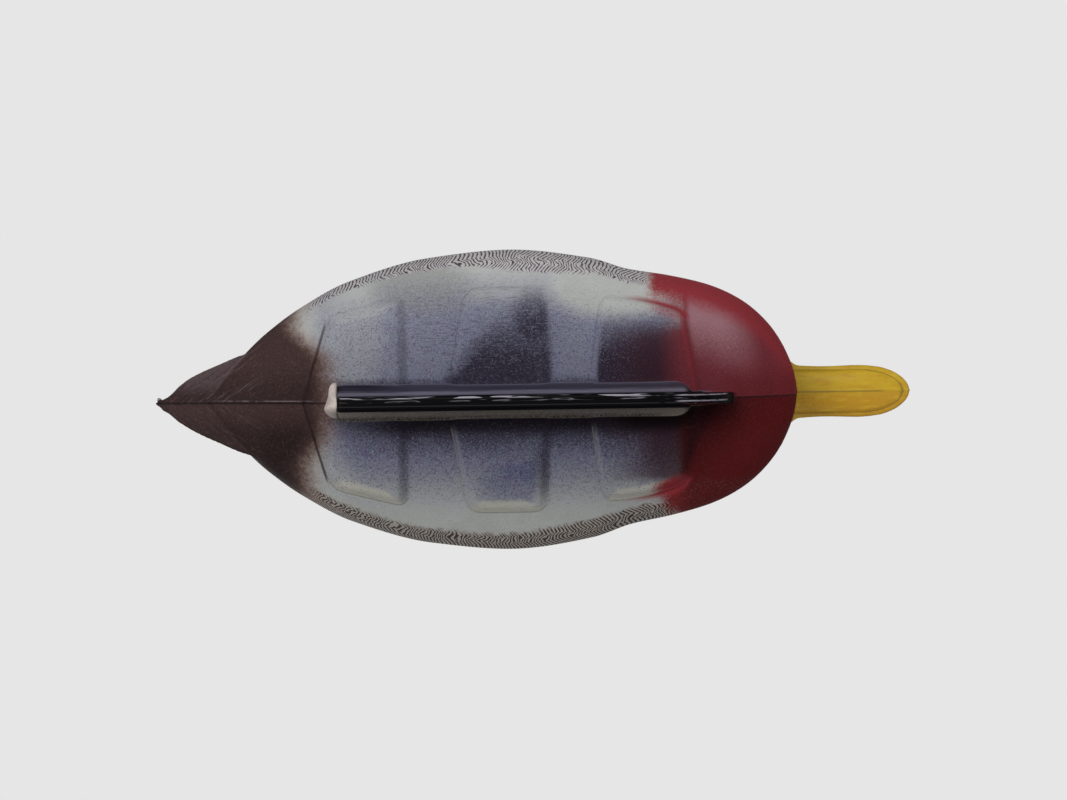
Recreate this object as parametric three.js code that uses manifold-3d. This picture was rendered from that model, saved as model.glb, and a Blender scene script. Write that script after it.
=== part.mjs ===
// A floating duck decoy, a mallard drake. It is blow moulded in plastic as one sealed shell with its
// head, bill, tail and keel, so it is drawn as one solid. A pale plug closes the rear end of the keel.
// Millimetres. +X towards the bill, +Y the bird's left side, +Z up. The origin lies on the surface that
// the keel stands on, halfway between the tail tip and the bill tip.
import * as THREE from "three";
import Module from "manifold-3d";
import { mergeVertices } from "three/addons/utils/BufferGeometryUtils.js";

// Driving dimensions
const LENGTH = 400;
const BILL_TIP_X = LENGTH / 2;
const TAIL_TIP_X = -LENGTH / 2;
const CHEST_X = 139.6;
const RUMP_X = -172;
const CROWN_Z = 176;
const NECK_ROOT_Z = 76;
const BODY_SHOULDER = 2.15;
const BODY_STATIONS = 38;
const BODY_SIDES = 40;

// Keel and its plug
const KEEL = { rear: -103.6, front: 83, width: 17.6, flat: 6.4, shoulder: 27, root: 40 };
const BLADE = { front: 107, thickness: 6, root: 42 };
const PLUG = { gap: 0.3, low: 1.6, high: 29, depth: 5.4, swell: 1.5, rightLobe: 3.3 };

// Pads raised on the bottom of the hull, as plan outlines of the left half from the keel line outwards
const PAD_HEIGHT = 2.6;
const PAD_ROOT_Z = 55;
const PADS = [
  [[-121.6, 0], [-109.5, 41], [-105, 46.5], [-70, 55], [-66.5, 51], [-66.5, 0]],
  [[-45.5, 0], [-36, 54.5], [-32, 59], [3, 59], [7.5, 54.5], [10, 0]],
  [[29.5, 0], [36, 50], [39, 54], [57, 53], [79, 46.5], [82.5, 42], [90, 0]],
];

// Folded wing, left side: root and tip in plan, half width, and how far it stands over the back
const WING_FEATHERS = [
  { root: [-52, 30], tip: [-152, 9], halfWidth: 7.5, rise: 2.8 },
  { root: [0, 54], tip: [-106, 44], halfWidth: 8.5, rise: 2.4 },
  { root: [8, 46], tip: [-120, 31], halfWidth: 10.5, rise: 3.4 },
  { root: [14, 33], tip: [-102, 19], halfWidth: 11, rise: 4.4 },
  { root: [56, 46], tip: [-46, 50], halfWidth: 11.5, rise: 3.4 },
  { root: [64, 31], tip: [-62, 34], halfWidth: 13, rise: 4.6 },
  { root: [70, 14.5], tip: [-76, 15], halfWidth: 14, rise: 5.6 },
];

// Tail feathers, left side, laid on the fan from the outer pair to the middle pair
const TAIL_FEATHERS = [
  { root: [-126, 23], tip: [-165, 18.5], halfWidth: 5.5, rise: 2 },
  { root: [-126, 17], tip: [-179, 12.5], halfWidth: 5.5, rise: 2.8 },
  { root: [-126, 10.5], tip: [-190, 7.5], halfWidth: 5.2, rise: 3.6 },
  { root: [-126, 4.5], tip: [-197.5, 2.4], halfWidth: 4.4, rise: 4.4 },
];

const EYE = { x: 120, y: 17.6, z: 150.5, radius: 5, flatness: 0.8 };

const clamp01 = (t) => Math.min(1, Math.max(0, t));
const smooth = (from, to, value) => {
  const t = clamp01((value - from) / (to - from));
  return t * t * (3 - 2 * t);
};

// A smooth curve through [at, value] points that never overshoots them. Where pole is given, the
// curve runs in the square root of the distance to it, so that the form closes there with a round end.
function profile(points, pole = null) {
  const warp = (at) => (pole === null ? at : -Math.sqrt(Math.max(0, pole - at)));
  const xs = points.map((p) => warp(p[0]));
  const ys = points.map((p) => p[1]);
  const slopes = ys.slice(1).map((y, i) => (y - ys[i]) / (xs[i + 1] - xs[i]));
  const tangents = ys.map((_, i) => {
    const before = slopes[Math.max(0, i - 1)];
    const after = slopes[Math.min(slopes.length - 1, i)];
    return before * after <= 0 ? 0 : (2 * before * after) / (before + after);
  });
  return (at) => {
    const x = Math.min(xs[xs.length - 1], Math.max(xs[0], warp(at)));
    let i = 0;
    while (i < xs.length - 2 && x > xs[i + 1]) i += 1;
    const width = xs[i + 1] - xs[i];
    const t = (x - xs[i]) / width;
    const ease = t * t * (3 - 2 * t);
    const bend = tangents[i] * t * (1 - t) ** 2 - tangents[i + 1] * t * t * (1 - t);
    return ys[i] * (1 - ease) + ys[i + 1] * ease + width * bend;
  };
}

// A cosine or sine raised so that the exponent sets how square a rounded section is: 2 is an ellipse.
const squared = (value, exponent) => Math.sign(value) * Math.abs(value) ** (2 / exponent);
const turn = (count) => Array.from({ length: count }, (_, i) => (2 * Math.PI * i) / count);
const steps = (count) => Array.from({ length: count + 1 }, (_, i) => i / count);

// Body: half width in plan, and the heights of its back, its widest line and its bottom
const bodyHalfWidth = profile(
  [[RUMP_X, 0], [-160, 17.5], [-149, 29.5], [-140.7, 37], [-123.8, 49.3], [-97.3, 63.4], [-54.9, 75.4],
    [-12.5, 79.3], [29.9, 74.2], [51, 67.6], [72.3, 63.6], [93.5, 58], [110, 50], [125.3, 36.3],
    [135.9, 17.5], [CHEST_X, 0]],
  CHEST_X,
);
const bodyTop = profile(
  [[RUMP_X, 75], [-150, 87], [-110, 101], [-60, 112], [0, 117], [50, 116], [90, 111], [115, 104],
    [130, 95], [136, 88], [CHEST_X, 76]],
  CHEST_X,
);
const bodyWaist = profile([[RUMP_X, 73], [-110, 69], [-60, 64], [0, 62], [60, 64], [CHEST_X, 76]], CHEST_X);
const bodyBottom = profile(
  [[RUMP_X, 71], [-150, 57], [-120, 40], [-95, 31.5], [-60, 27.5], [-20, 26], [50, 26], [90, 30],
    [115, 40], [130, 55], [CHEST_X, 76]],
  CHEST_X,
);
const bodyBilge = profile([[RUMP_X, 2], [-110, 2.3], [-40, 2.7], [50, 2.6], [CHEST_X, 2.1]], CHEST_X);

function bodyPoint(x, angle) {
  const upper = Math.sin(angle) >= 0;
  const exponent = upper ? BODY_SHOULDER : bodyBilge(x);
  const waist = bodyWaist(x);
  const reach = upper ? bodyTop(x) - waist : waist - bodyBottom(x);
  return new THREE.Vector3(
    x,
    bodyHalfWidth(x) * squared(Math.cos(angle), exponent),
    waist + reach * squared(Math.sin(angle), exponent),
  );
}

// The height of the back over a point of the plan
function backHeight(x, y) {
  const across = Math.min(0.97, Math.abs(y) / bodyHalfWidth(x));
  const arch = (1 - across ** BODY_SHOULDER) ** (1 / BODY_SHOULDER);
  return bodyWaist(x) + (bodyTop(x) - bodyWaist(x)) * arch;
}

// Tail fan: a thin plate that rises to the rear and droops at its edges
const tailHalfWidth = profile([[TAIL_TIP_X, 0.8], [-195.8, 3.7], [-187.4, 10.5], [-178.9, 15.7], [-166, 21.7],
  [-153.4, 27], [-135, 31], [-118, 31]]);
const tailHeight = (x, y) => 71 + 0.2 * (-150 - x) - 0.006 * y * y;

// Neck and head: level sections between a front and a back line, closing at the crown
const headFront = profile([[NECK_ROOT_Z, 130], [92, 132.4], [108, 130.4], [116, 132], [125, 138.4],
  [134, 141.2], [144, 140.4], [157, 133.4], [168, 123], [CROWN_Z, 107]], CROWN_Z);
const headBack = profile([[NECK_ROOT_Z, 52], [90, 58], [100, 66], [110, 74.5], [120, 78.6], [132, 79.6],
  [145, 81], [157, 84.4], [168, 91.5], [CROWN_Z, 107]], CROWN_Z);
const headHalfWidth = profile([[NECK_ROOT_Z, 42], [90, 36], [100, 30], [110, 25], [120, 22.4], [132, 22.2],
  [145, 21.4], [157, 18.6], [168, 13], [CROWN_Z, 0]], CROWN_Z);
const HEAD_LEVELS = 24;
const HEAD_SIDES = 28;

// Bill: an arched upper half over a flatter, narrower lower half
const billHalfWidth = profile([[126, 21], [136, 16.8], [141, 14], [155, 13.4], [172, 13.8], [182, 13.1],
  [190, 10.9], [195, 8], [BILL_TIP_X, 0]], BILL_TIP_X);
const billTop = profile([[126, 152], [138, 148.4], [150, 142], [165, 136], [180, 132.4], [192, 130.6],
  [BILL_TIP_X, 127.6]], BILL_TIP_X);
const billEdge = profile([[126, 127.6], [150, 127.6], [180, 126.8], [BILL_TIP_X, 127.2]]);
const JAW_TIP_X = 197;
const jawHalfWidth = profile([[126, 14], [140, 11.3], [175, 11], [185, 9.4], [192, 6.4], [JAW_TIP_X, 0]],
  JAW_TIP_X);
const jawBottom = profile([[126, 121.6], [150, 122.6], [180, 123], [JAW_TIP_X, 125.6]], JAW_TIP_X);
const BILL_ROOT_X = 126;
const BILL_SIDES = 18;

// A closed solid skinned over rings with the same number of points. A ring of one point is a pole, and
// any other end ring is capped flat.
function loft(rings) {
  const positions = [];
  const indices = [];
  const starts = rings.map((ring) => {
    const start = positions.length / 3;
    ring.forEach((p) => positions.push(p.x, p.y, p.z));
    return start;
  });
  const corner = (r, i) => starts[r] + (rings[r].length === 1 ? 0 : i % rings[r].length);
  for (let r = 0; r < rings.length - 1; r += 1) {
    const sides = Math.max(rings[r].length, rings[r + 1].length);
    for (let i = 0; i < sides; i += 1) {
      if (rings[r].length > 1) indices.push(corner(r, i), corner(r + 1, i), corner(r, i + 1));
      if (rings[r + 1].length > 1) indices.push(corner(r, i + 1), corner(r + 1, i), corner(r + 1, i + 1));
    }
  }
  const last = rings.length - 1;
  for (let i = 1; i < rings[0].length - 1; i += 1) indices.push(corner(0, 0), corner(0, i), corner(0, i + 1));
  for (let i = 1; i < rings[last].length - 1; i += 1) {
    indices.push(corner(last, 0), corner(last, i + 1), corner(last, i));
  }
  const geometry = new THREE.BufferGeometry();
  geometry.setAttribute("position", new THREE.Float32BufferAttribute(positions, 3));
  geometry.setIndex(indices);
  return geometry;
}

const wasm = await Module();
wasm.setup();

// A closed geometry as a solid that can be joined and cut, with its faces turned outwards.
function solid(geometry) {
  const bare = new THREE.BufferGeometry();
  const source = geometry.index ? geometry.toNonIndexed() : geometry;
  bare.setAttribute("position", source.getAttribute("position"));
  const merged = mergeVertices(bare, 1e-4);
  const vertProperties = merged.attributes.position.array;
  const triVerts = new Uint32Array(merged.index.array);
  const made = new wasm.Manifold(new wasm.Mesh({ numProp: 3, vertProperties, triVerts }));
  if (made.volume() > 0) return made;
  triVerts.reverse();
  return new wasm.Manifold(new wasm.Mesh({ numProp: 3, vertProperties, triVerts }));
}

function geometryOf(made) {
  const mesh = made.getMesh();
  const geometry = new THREE.BufferGeometry();
  geometry.setAttribute("position", new THREE.BufferAttribute(mesh.vertProperties, 3));
  geometry.setIndex(new THREE.BufferAttribute(mesh.triVerts, 1));
  return geometry;
}

const join = (solids) => solids.reduce((whole, next) => whole.add(next));
const shapeOf = (points) => new THREE.Shape(points.map(([u, v]) => new THREE.Vector2(u, v)));

// A prism standing along Z over an outline in plan
function planPrism(shape, low, high) {
  const options = { depth: high - low, bevelEnabled: false, curveSegments: 6 };
  return solid(new THREE.ExtrudeGeometry(shape, options).translate(0, 0, low));
}

// The body's skin, raised outwards by lift(x, z) across its section
function body(lift = () => 0) {
  const rings = steps(BODY_STATIONS).map((t) => {
    const x = CHEST_X - ((CHEST_X - RUMP_X) * (1 - Math.cos(Math.PI * t))) / 2;
    if (t === 0 || t === 1) return [new THREE.Vector3(x, 0, bodyWaist(x))];
    return turn(BODY_SIDES).map((angle) => {
      const point = bodyPoint(x, angle);
      const along = bodyPoint(x, angle + 0.01).sub(bodyPoint(x, angle - 0.01));
      const outward = new THREE.Vector3(0, along.z, -along.y).normalize();
      return point.addScaledVector(outward, lift(point.x, point.z));
    });
  });
  return solid(loft(rings));
}

function pads() {
  const lowered = body((x, z) => (z < bodyWaist(x) ? PAD_HEIGHT : 0));
  const outlines = PADS.map((left) => {
    const right = left.slice(1, -1).map(([x, y]) => [x, -y]);
    return planPrism(shapeOf([...left, ...right.reverse()]), 0, PAD_ROOT_Z);
  });
  return lowered.intersect(join(outlines));
}

// One feather of the left (side 1) or right (side -1) half: a plate laid over the surface height(x, y),
// rising out of it from the root, crowned along the middle and rounded at the tip.
function feather({ root, tip, halfWidth, rise }, side, height) {
  const roundFrom = 0.74;
  const depth = 2.4;
  const crown = 0.8;
  const run = new THREE.Vector2(tip[0] - root[0], tip[1] - root[1]);
  const across = new THREE.Vector2(-run.y, run.x).normalize();
  const rings = [0, 0.18, 0.36, 0.58, roundFrom, 0.86, 0.95, 0.99].map((t) => {
    const rounding = Math.sqrt(1 - (Math.max(0, t - roundFrom) / (1 - roundFrom)) ** 2);
    const half = halfWidth * (0.78 + 0.22 * smooth(0, 0.5, t)) * rounding;
    const over = -1.2 + (rise + 1.2) * smooth(0, 0.4, t);
    const place = (v, offset) => {
      const x = root[0] + run.x * t + across.x * v * half;
      const y = root[1] + run.y * t + across.y * v * half;
      return new THREE.Vector3(x, side * y, height(x, y) + offset);
    };
    return [place(-1, -depth), place(-1, over), place(-0.45, over + crown), place(0.45, over + crown),
      place(1, over), place(1, -depth)];
  });
  return solid(loft(rings));
}

const wing = (side) => join(WING_FEATHERS.map((one) => feather(one, side, backHeight)));

function tail() {
  const rootX = -118;
  const thinning = 0.45;
  const plate = steps(9).map((t) => {
    const x = rootX + (TAIL_TIP_X - rootX) * t ** 0.8;
    const half = tailHalfWidth(x);
    const thin = 1 - thinning * t;
    const place = (v, offset) => new THREE.Vector3(x, v * half, tailHeight(x, v * half) + offset * thin);
    return [place(1, 0), place(0.94, 1.2), place(0, 1.4), place(-0.94, 1.2), place(-1, 0),
      place(-0.94, -2), place(-0.5, -3.2), place(0, -4), place(0.5, -3.2), place(0.94, -2)];
  });
  const feathers = [1, -1].flatMap((side) => TAIL_FEATHERS.map((one) => feather(one, side, tailHeight)));
  return join([solid(loft(plate)), ...feathers]);
}

// A round bar along a curve, thinning to its end
function taperedBar(curve, startRadius, endRadius, count, sides) {
  const frames = curve.computeFrenetFrames(count, false);
  const rings = steps(count).map((t, s) => {
    const centre = curve.getPointAt(t);
    const radius = startRadius + (endRadius - startRadius) * t;
    return turn(sides).map((angle) =>
      centre
        .clone()
        .addScaledVector(frames.normals[s], radius * Math.cos(angle))
        .addScaledVector(frames.binormals[s], radius * Math.sin(angle)),
    );
  });
  return solid(loft(rings));
}

// The drake's curled feather over the tail root, a hook in the plane of the mould seam
function tailCurl() {
  const route = [[-136, 82], [-150, 86], [-160, 92], [-163, 99.5], [-158, 105], [-151.5, 103]];
  const hook = new THREE.CatmullRomCurve3(route.map(([x, z]) => new THREE.Vector3(x, 0, z)));
  return taperedBar(hook, 4.4, 2, 12, 8);
}

// The nib of pinched plastic at the tail tip, bent to the right side
function tailNib() {
  const route = [[-190, 0.4], [-196.6, 0.6], [-198.5, -1.8]];
  const bend = new THREE.CatmullRomCurve3(route.map(([x, y]) => new THREE.Vector3(x, y, tailHeight(x, y))));
  return taperedBar(bend, 1.6, 1.2, 4, 6);
}

function head() {
  const rings = steps(HEAD_LEVELS).map((t) => {
    const z = CROWN_Z - (CROWN_Z - NECK_ROOT_Z) * (0.4 * t * t + 0.6 * t ** 1.3);
    const front = headFront(z);
    const back = headBack(z);
    if (t === 0) return [new THREE.Vector3(front, 0, z)];
    const middle = (front + back) / 2;
    const reach = (front - back) / 2;
    const blunt = 2 + 0.5 * smooth(118, 130, z) * (1 - smooth(150, 165, z));
    return turn(HEAD_SIDES).map((angle) => {
      const exponent = Math.cos(angle) >= 0 ? blunt : 2;
      const x = middle + reach * squared(Math.cos(angle), exponent);
      return new THREE.Vector3(x, headHalfWidth(z) * squared(Math.sin(angle), exponent), z);
    });
  });
  return solid(loft(rings));
}

function eye(side) {
  const ball = new THREE.SphereGeometry(EYE.radius, 12, 8).rotateX(Math.PI / 2);
  return solid(ball.scale(1, EYE.flatness, 1).translate(EYE.x, side * EYE.y, EYE.z));
}

// Half of the bill as a loft from its tip back into the face
function mandible(endX, stations, halfWidth, top, bottom, edge) {
  const rings = steps(stations).map((t) => {
    const x = endX - (endX - BILL_ROOT_X) * (0.6 * t * t + 0.4 * t);
    if (t === 0) return [new THREE.Vector3(x, 0, edge(x))];
    return turn(BILL_SIDES).map((angle) => {
      const upper = Math.sin(angle) >= 0;
      const reach = upper ? top(x) - edge(x) : edge(x) - bottom(x);
      const exponent = upper ? 2.1 : 3;
      const z = edge(x) + reach * squared(Math.sin(angle), exponent);
      return new THREE.Vector3(x, halfWidth(x) * squared(Math.cos(angle), exponent), z);
    });
  });
  return solid(loft(rings));
}

function nostril(side) {
  const slot = new THREE.SphereGeometry(1, 10, 8).scale(4.6, 2.4, 1.7).rotateY(0.35).rotateX(side * -0.8);
  const x = 152;
  return solid(slot.translate(x, side * 7.6, billTop(x) - 2.6));
}

function bill() {
  const upper = mandible(BILL_TIP_X, 14, billHalfWidth, billTop, (x) => billEdge(x) - 2, billEdge);
  const lower = mandible(JAW_TIP_X, 10, jawHalfWidth, (x) => billEdge(x) + 1, jawBottom, (x) => billEdge(x) - 1);
  const nailX = 192;
  const nail = new THREE.SphereGeometry(1, 12, 8).scale(6.4, 4.6, 2).rotateY(0.12);
  return upper
    .add(lower)
    .add(solid(nail.translate(nailX, 0, billTop(nailX) - 0.9)))
    .subtract(join([nostril(1), nostril(-1)]));
}

// Keel: a bar with sloping sides and a rounded front, and a thin blade ahead of it
function keel() {
  const half = KEEL.width / 2;
  const foot = KEEL.flat / 2;
  const chamfer = 0.9;
  const left = [[foot, 0], [foot + chamfer, 1.3 * chamfer], [half, KEEL.shoulder], [half, KEEL.root]];
  const right = left.map(([y, z]) => [-y, z]).reverse();
  const options = { depth: KEEL.front - KEEL.rear, bevelEnabled: false };
  const bar = new THREE.ExtrudeGeometry(shapeOf([...right, ...left]), options);
  const alongX = new THREE.Matrix4().makeBasis(
    new THREE.Vector3(0, 1, 0),
    new THREE.Vector3(0, 0, 1),
    new THREE.Vector3(1, 0, 0),
  );
  bar.applyMatrix4(alongX).translate(KEEL.rear, 0, 0);
  const roundFrom = KEEL.front - 14;
  const wide = half + 1;
  const plan = new THREE.Shape();
  plan.moveTo(KEEL.rear - 1, -wide);
  plan.lineTo(roundFrom, -wide);
  plan.quadraticCurveTo(KEEL.front, -wide, KEEL.front, 0);
  plan.quadraticCurveTo(KEEL.front, wide, roundFrom, wide);
  plan.lineTo(KEEL.rear - 1, wide);
  plan.closePath();
  return solid(bar).intersect(planPrism(plan, -1, KEEL.root + 1));
}

function blade() {
  const rear = KEEL.front - 28;
  const side = new THREE.Shape();
  side.moveTo(rear, 0);
  side.lineTo(KEEL.front, 0);
  side.bezierCurveTo(95, 0, BLADE.front, 12, BLADE.front, BLADE.root);
  side.lineTo(rear, BLADE.root);
  side.closePath();
  const options = { depth: BLADE.thickness, bevelEnabled: false, curveSegments: 8 };
  const plate = new THREE.ExtrudeGeometry(side, options).rotateX(Math.PI / 2);
  return solid(plate.translate(0, BLADE.thickness / 2, 0));
}

// Plug: a blob that closes the keel's open rear end, shaped like a skittle. It is fullest left of the
// middle, thins to a waist on the right, and ends in a lobe that stands past the keel's right side.
function plug() {
  const face = KEEL.rear - PLUG.gap;
  const bulges = 12;
  const rings = steps(8).map((t) => {
    const z = PLUG.low + (PLUG.high - PLUG.low) * t;
    const swell = Math.sin(Math.PI * (0.1 + 0.8 * t)) ** 0.5;
    const keelHalf = (KEEL.flat + (KEEL.width - KEEL.flat) * clamp01(z / KEEL.shoulder)) / 2;
    const half = keelHalf * (0.86 + 0.14 * swell);
    const rightHalf = half + PLUG.rightLobe * smooth(6, 20, z);
    const skin = steps(bulges).slice(1, -1).map((s) => {
      const u = 2 * s - 1;
      const depth = (PLUG.depth + PLUG.swell * Math.sin(3.3 * u)) * swell * (1 - Math.abs(u) ** 5) ** 0.5;
      return new THREE.Vector3(face - depth, u * (u > 0 ? half : rightHalf), z);
    });
    return [new THREE.Vector3(face, half, z), new THREE.Vector3(face, -rightHalf, z), ...skin];
  });
  return solid(loft(rings));
}

function decoyShell() {
  return join([body(), pads(), wing(1), wing(-1), tail(), tailNib(), tailCurl(), head(), eye(1), eye(-1),
    bill(), keel(), blade()]);
}

function piece(name, made, colour, roughness) {
  const material = new THREE.MeshStandardMaterial({ color: colour, roughness, metalness: 0 });
  const mesh = new THREE.Mesh(geometryOf(made), material);
  mesh.name = name;
  return mesh;
}

const decoy = new THREE.Group();
decoy.add(piece("decoy_shell", decoyShell(), 0x8d8f93, 0.6));
decoy.add(piece("keel_plug", plug(), 0xcbc9b8, 0.5));

export default decoy;
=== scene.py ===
import math

import bpy
import numpy as np
import openvdb
from mathutils import Matrix, Vector


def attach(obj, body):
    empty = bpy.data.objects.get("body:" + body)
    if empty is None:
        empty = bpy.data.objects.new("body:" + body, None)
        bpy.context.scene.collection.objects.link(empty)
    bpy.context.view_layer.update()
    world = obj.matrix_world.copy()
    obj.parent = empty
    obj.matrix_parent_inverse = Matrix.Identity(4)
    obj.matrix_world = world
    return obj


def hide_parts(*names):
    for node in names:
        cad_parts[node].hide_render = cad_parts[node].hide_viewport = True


MM = 0.001
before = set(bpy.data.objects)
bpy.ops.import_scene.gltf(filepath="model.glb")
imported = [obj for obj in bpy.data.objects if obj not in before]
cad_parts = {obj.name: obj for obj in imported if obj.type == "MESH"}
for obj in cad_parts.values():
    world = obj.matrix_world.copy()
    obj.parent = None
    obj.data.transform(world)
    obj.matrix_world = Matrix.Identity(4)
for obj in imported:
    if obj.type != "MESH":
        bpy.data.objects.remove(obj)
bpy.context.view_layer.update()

# Driving dimensions in millimetres: the solids', but for the body's lean and the plug's depth and swell
BILL_TIP_X = 200
TAIL_TIP_X = -200
CHEST_X = 139.6
RUMP_X = -172
CROWN_Z = 176
NECK_ROOT_Z = 76
BODY_SHOULDER = 2.15
BODY_LEAN = 1.5

KEEL_REAR = -103.6
KEEL_FRONT = 83
KEEL_WIDTH = 17.6
KEEL_FLAT = 6.4
KEEL_CHAMFER = 0.9
KEEL_SHOULDER = 27
KEEL_ROOT = 40
KEEL_NOSE = 14
BLADE_FRONT = 107
BLADE_THICKNESS = 6
BLADE_ROOT = 42
PLUG_GAP = 0.3
PLUG_LOW = 1.6
PLUG_HIGH = 29
PLUG_DEPTH = 5.9
PLUG_SWELL = 1.1
PLUG_RIGHT_LOBE = 3.3

# Pads raised on the bottom of the hull, as plan outlines of the left half from the keel line outwards
PAD_HEIGHT = 2.6
PAD_WALL = 3.2
PAD_FRONT_SLOPE = 0.62
PADS = [
    [(-121.6, 0), (-109.5, 41), (-105, 46.5), (-70, 55), (-66.5, 51), (-66.5, 0)],
    [(-45.5, 0), (-36, 54.5), (-32, 59), (3, 59), (7.5, 54.5), (10, 0)],
    [(29.5, 0), (36, 50), (39, 54), (57, 53), (79, 46.5), (82.5, 42), (90, 0)],
]

# Feathers of the left side: root and tip in plan, half width, and how far each stands over its bed
WING_FEATHERS = [
    ((-52, 30), (-152, 9), 7.5, 2.8),
    ((0, 54), (-106, 44), 8.5, 2.4),
    ((8, 46), (-120, 31), 10.5, 3.4),
    ((14, 33), (-102, 19), 11, 4.4),
    ((56, 46), (-46, 50), 11.5, 3.4),
    ((64, 31), (-62, 34), 13, 4.6),
    ((70, 14.5), (-76, 15), 14, 5.6),
]
TAIL_FEATHERS = [
    ((-126, 23), (-165, 18.5), 5.5, 2),
    ((-126, 17), (-179, 12.5), 5.5, 2.8),
    ((-126, 10.5), (-190, 7.5), 5.2, 3.6),
    ((-126, 4.5), (-197.5, 2.4), 4.4, 4.4),
]
EYE = Vector((120, 17.6, 150.5))
EYE_RADIUS = 5


# Curves and blends

def ramp(low, high, value):
    """0 below low, 1 above high, and a smooth rise between them."""
    t = np.clip((value - low) / (high - low), 0, 1)
    return t * t * (3 - 2 * t)


def profile(points, pole=None):
    """A smooth curve through (at, value) points that never overshoots them. Where pole is given, the
    curve runs in the square root of the distance to it, so that the form closes with a round end."""
    def warp(at):
        return at if pole is None else -np.sqrt(np.maximum(0, pole - at))

    xs = warp(np.array([p[0] for p in points], float))
    ys = np.array([p[1] for p in points], float)
    slopes = np.diff(ys) / np.diff(xs)
    before = np.concatenate([slopes[:1], slopes])
    after = np.concatenate([slopes, slopes[-1:]])
    same_way = before * after > 0
    total = np.where(same_way, before + after, 1)
    tangents = np.where(same_way, 2 * before * after / total, 0)

    def curve(at):
        x = np.clip(warp(np.asarray(at, float)), xs[0], xs[-1])
        i = np.clip(np.searchsorted(xs, x, side="right") - 1, 0, len(xs) - 2)
        width = xs[i + 1] - xs[i]
        t = (x - xs[i]) / width
        ease = t * t * (3 - 2 * t)
        bend = tangents[i] * t * (1 - t) ** 2 - tangents[i + 1] * t * t * (1 - t)
        return ys[i] * (1 - ease) + ys[i + 1] * ease + width * bend

    return curve


def blend_min(a, b, fillet):
    """The nearer of two surfaces, with a fillet where they meet."""
    if fillet == 0:
        return np.minimum(a, b)
    near = np.maximum(fillet - np.abs(a - b), 0) / fillet
    return np.minimum(a, b) - near * near * fillet / 4


def blend_max(a, b, rounding):
    """The further of two surfaces, with the edge between them rounded."""
    return -blend_min(-a, -b, rounding)


def within(gap, low, high, value):
    """Cuts a form off where value leaves the range from low to high."""
    return np.maximum(gap, np.maximum(low - value, value - high))


THINNEST = 0.05


def section_gap(u, v, half_u, half_v, squareness):
    """How far a point lies outside a superellipse section, along its own radius. 2 is an ellipse. No
    section counts as thinner than THINNEST, so that a form can close to a point."""
    across = np.abs(u / np.maximum(half_u, THINNEST)) ** squareness
    up = np.abs(v / np.maximum(half_v, THINNEST)) ** squareness
    share = (across + up) ** (1 / squareness)
    reach = np.hypot(u, v)
    return reach - reach / np.maximum(share, 1e-6)


# Body: half width in plan, and the heights of its back, its widest line and its bottom
body_half_width = profile(
    [(RUMP_X, 0), (-160, 17.5), (-149, 29.5), (-140.7, 37), (-123.8, 49.3), (-97.3, 63.4), (-54.9, 75.4),
     (-12.5, 79.3), (29.9, 74.2), (51, 67.6), (72.3, 63.6), (93.5, 58), (110, 50), (125.3, 36.3),
     (135.9, 17.5), (CHEST_X, 0)],
    CHEST_X,
)
body_top = profile(
    [(RUMP_X, 75), (-150, 87), (-110, 101), (-60, 112), (0, 117), (50, 116), (90, 111), (115, 104),
     (130, 95), (136, 88), (CHEST_X, 76)],
    CHEST_X,
)
body_waist = profile([(RUMP_X, 73), (-110, 69), (-60, 64), (0, 62), (60, 64), (CHEST_X, 76)], CHEST_X)
body_bottom = profile(
    [(RUMP_X, 71), (-150, 57), (-120, 40), (-95, 31.5), (-60, 27.5), (-20, 26), (50, 26), (90, 30),
     (115, 40), (130, 55), (CHEST_X, 76)],
    CHEST_X,
)
body_bilge = profile([(RUMP_X, 2), (-110, 2.3), (-40, 2.7), (50, 2.6), (CHEST_X, 2.1)], CHEST_X)


def pad_rim(x, y):
    """How far a point of the plan lies outside the nearest pad's outline, negative on the pad. The
    front walls of the pads slope more gently, so there the distance counts for less."""
    nearest = np.inf
    rounding = 1.1
    for outline in PADS:
        total = 0
        for (x0, y0), (x1, y1) in zip(outline, outline[1:]):
            length = math.hypot(x1 - x0, y1 - y0)
            out_x = -(y1 - y0) / length
            out_y = (x1 - x0) / length
            slope = PAD_FRONT_SLOPE if out_x > 0.9 else 1
            beyond = ((x - x0) * out_x + (np.abs(y) - y0) * out_y) * slope
            total = total + np.exp(np.minimum(beyond, 40) / rounding)
        nearest = np.minimum(nearest, rounding * np.log(total))
    return nearest


def body_gap(x, y, z):
    """The body, which leans very slightly to its right towards the breast."""
    y = y + BODY_LEAN * ramp(-20, 140, x)
    half = body_half_width(x)
    waist = body_waist(x)
    rise = z - waist
    upper = section_gap(y, rise, half, body_top(x) - waist, BODY_SHOULDER)
    lower = section_gap(y, rise, half, waist - body_bottom(x), body_bilge(x))
    lower = lower - PAD_HEIGHT * ramp(-0.2, PAD_WALL, -pad_rim(x, y))
    gap = np.where(rise > 0, upper, lower)
    return within(gap, RUMP_X, CHEST_X, x)


def back_height(x, y):
    """The height of the back over a point of the plan."""
    across = np.minimum(0.97, np.abs(y) / np.maximum(body_half_width(x), THINNEST))
    arch = (1 - across ** BODY_SHOULDER) ** (1 / BODY_SHOULDER)
    return body_waist(x) + (body_top(x) - body_waist(x)) * arch


# Tail fan: a thin plate that rises to the rear and droops at its edges
TAIL_ROOT_X = -118
tail_half_width = profile(
    [(TAIL_TIP_X, 0.8), (-195.8, 3.7), (-187.4, 10.5), (-178.9, 15.7), (-166, 21.7), (-153.4, 27),
     (-135, 31), (TAIL_ROOT_X, 31)],
)


def tail_height(x, y):
    return 71 + 0.2 * (-150 - x) - 0.006 * y * y


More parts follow.
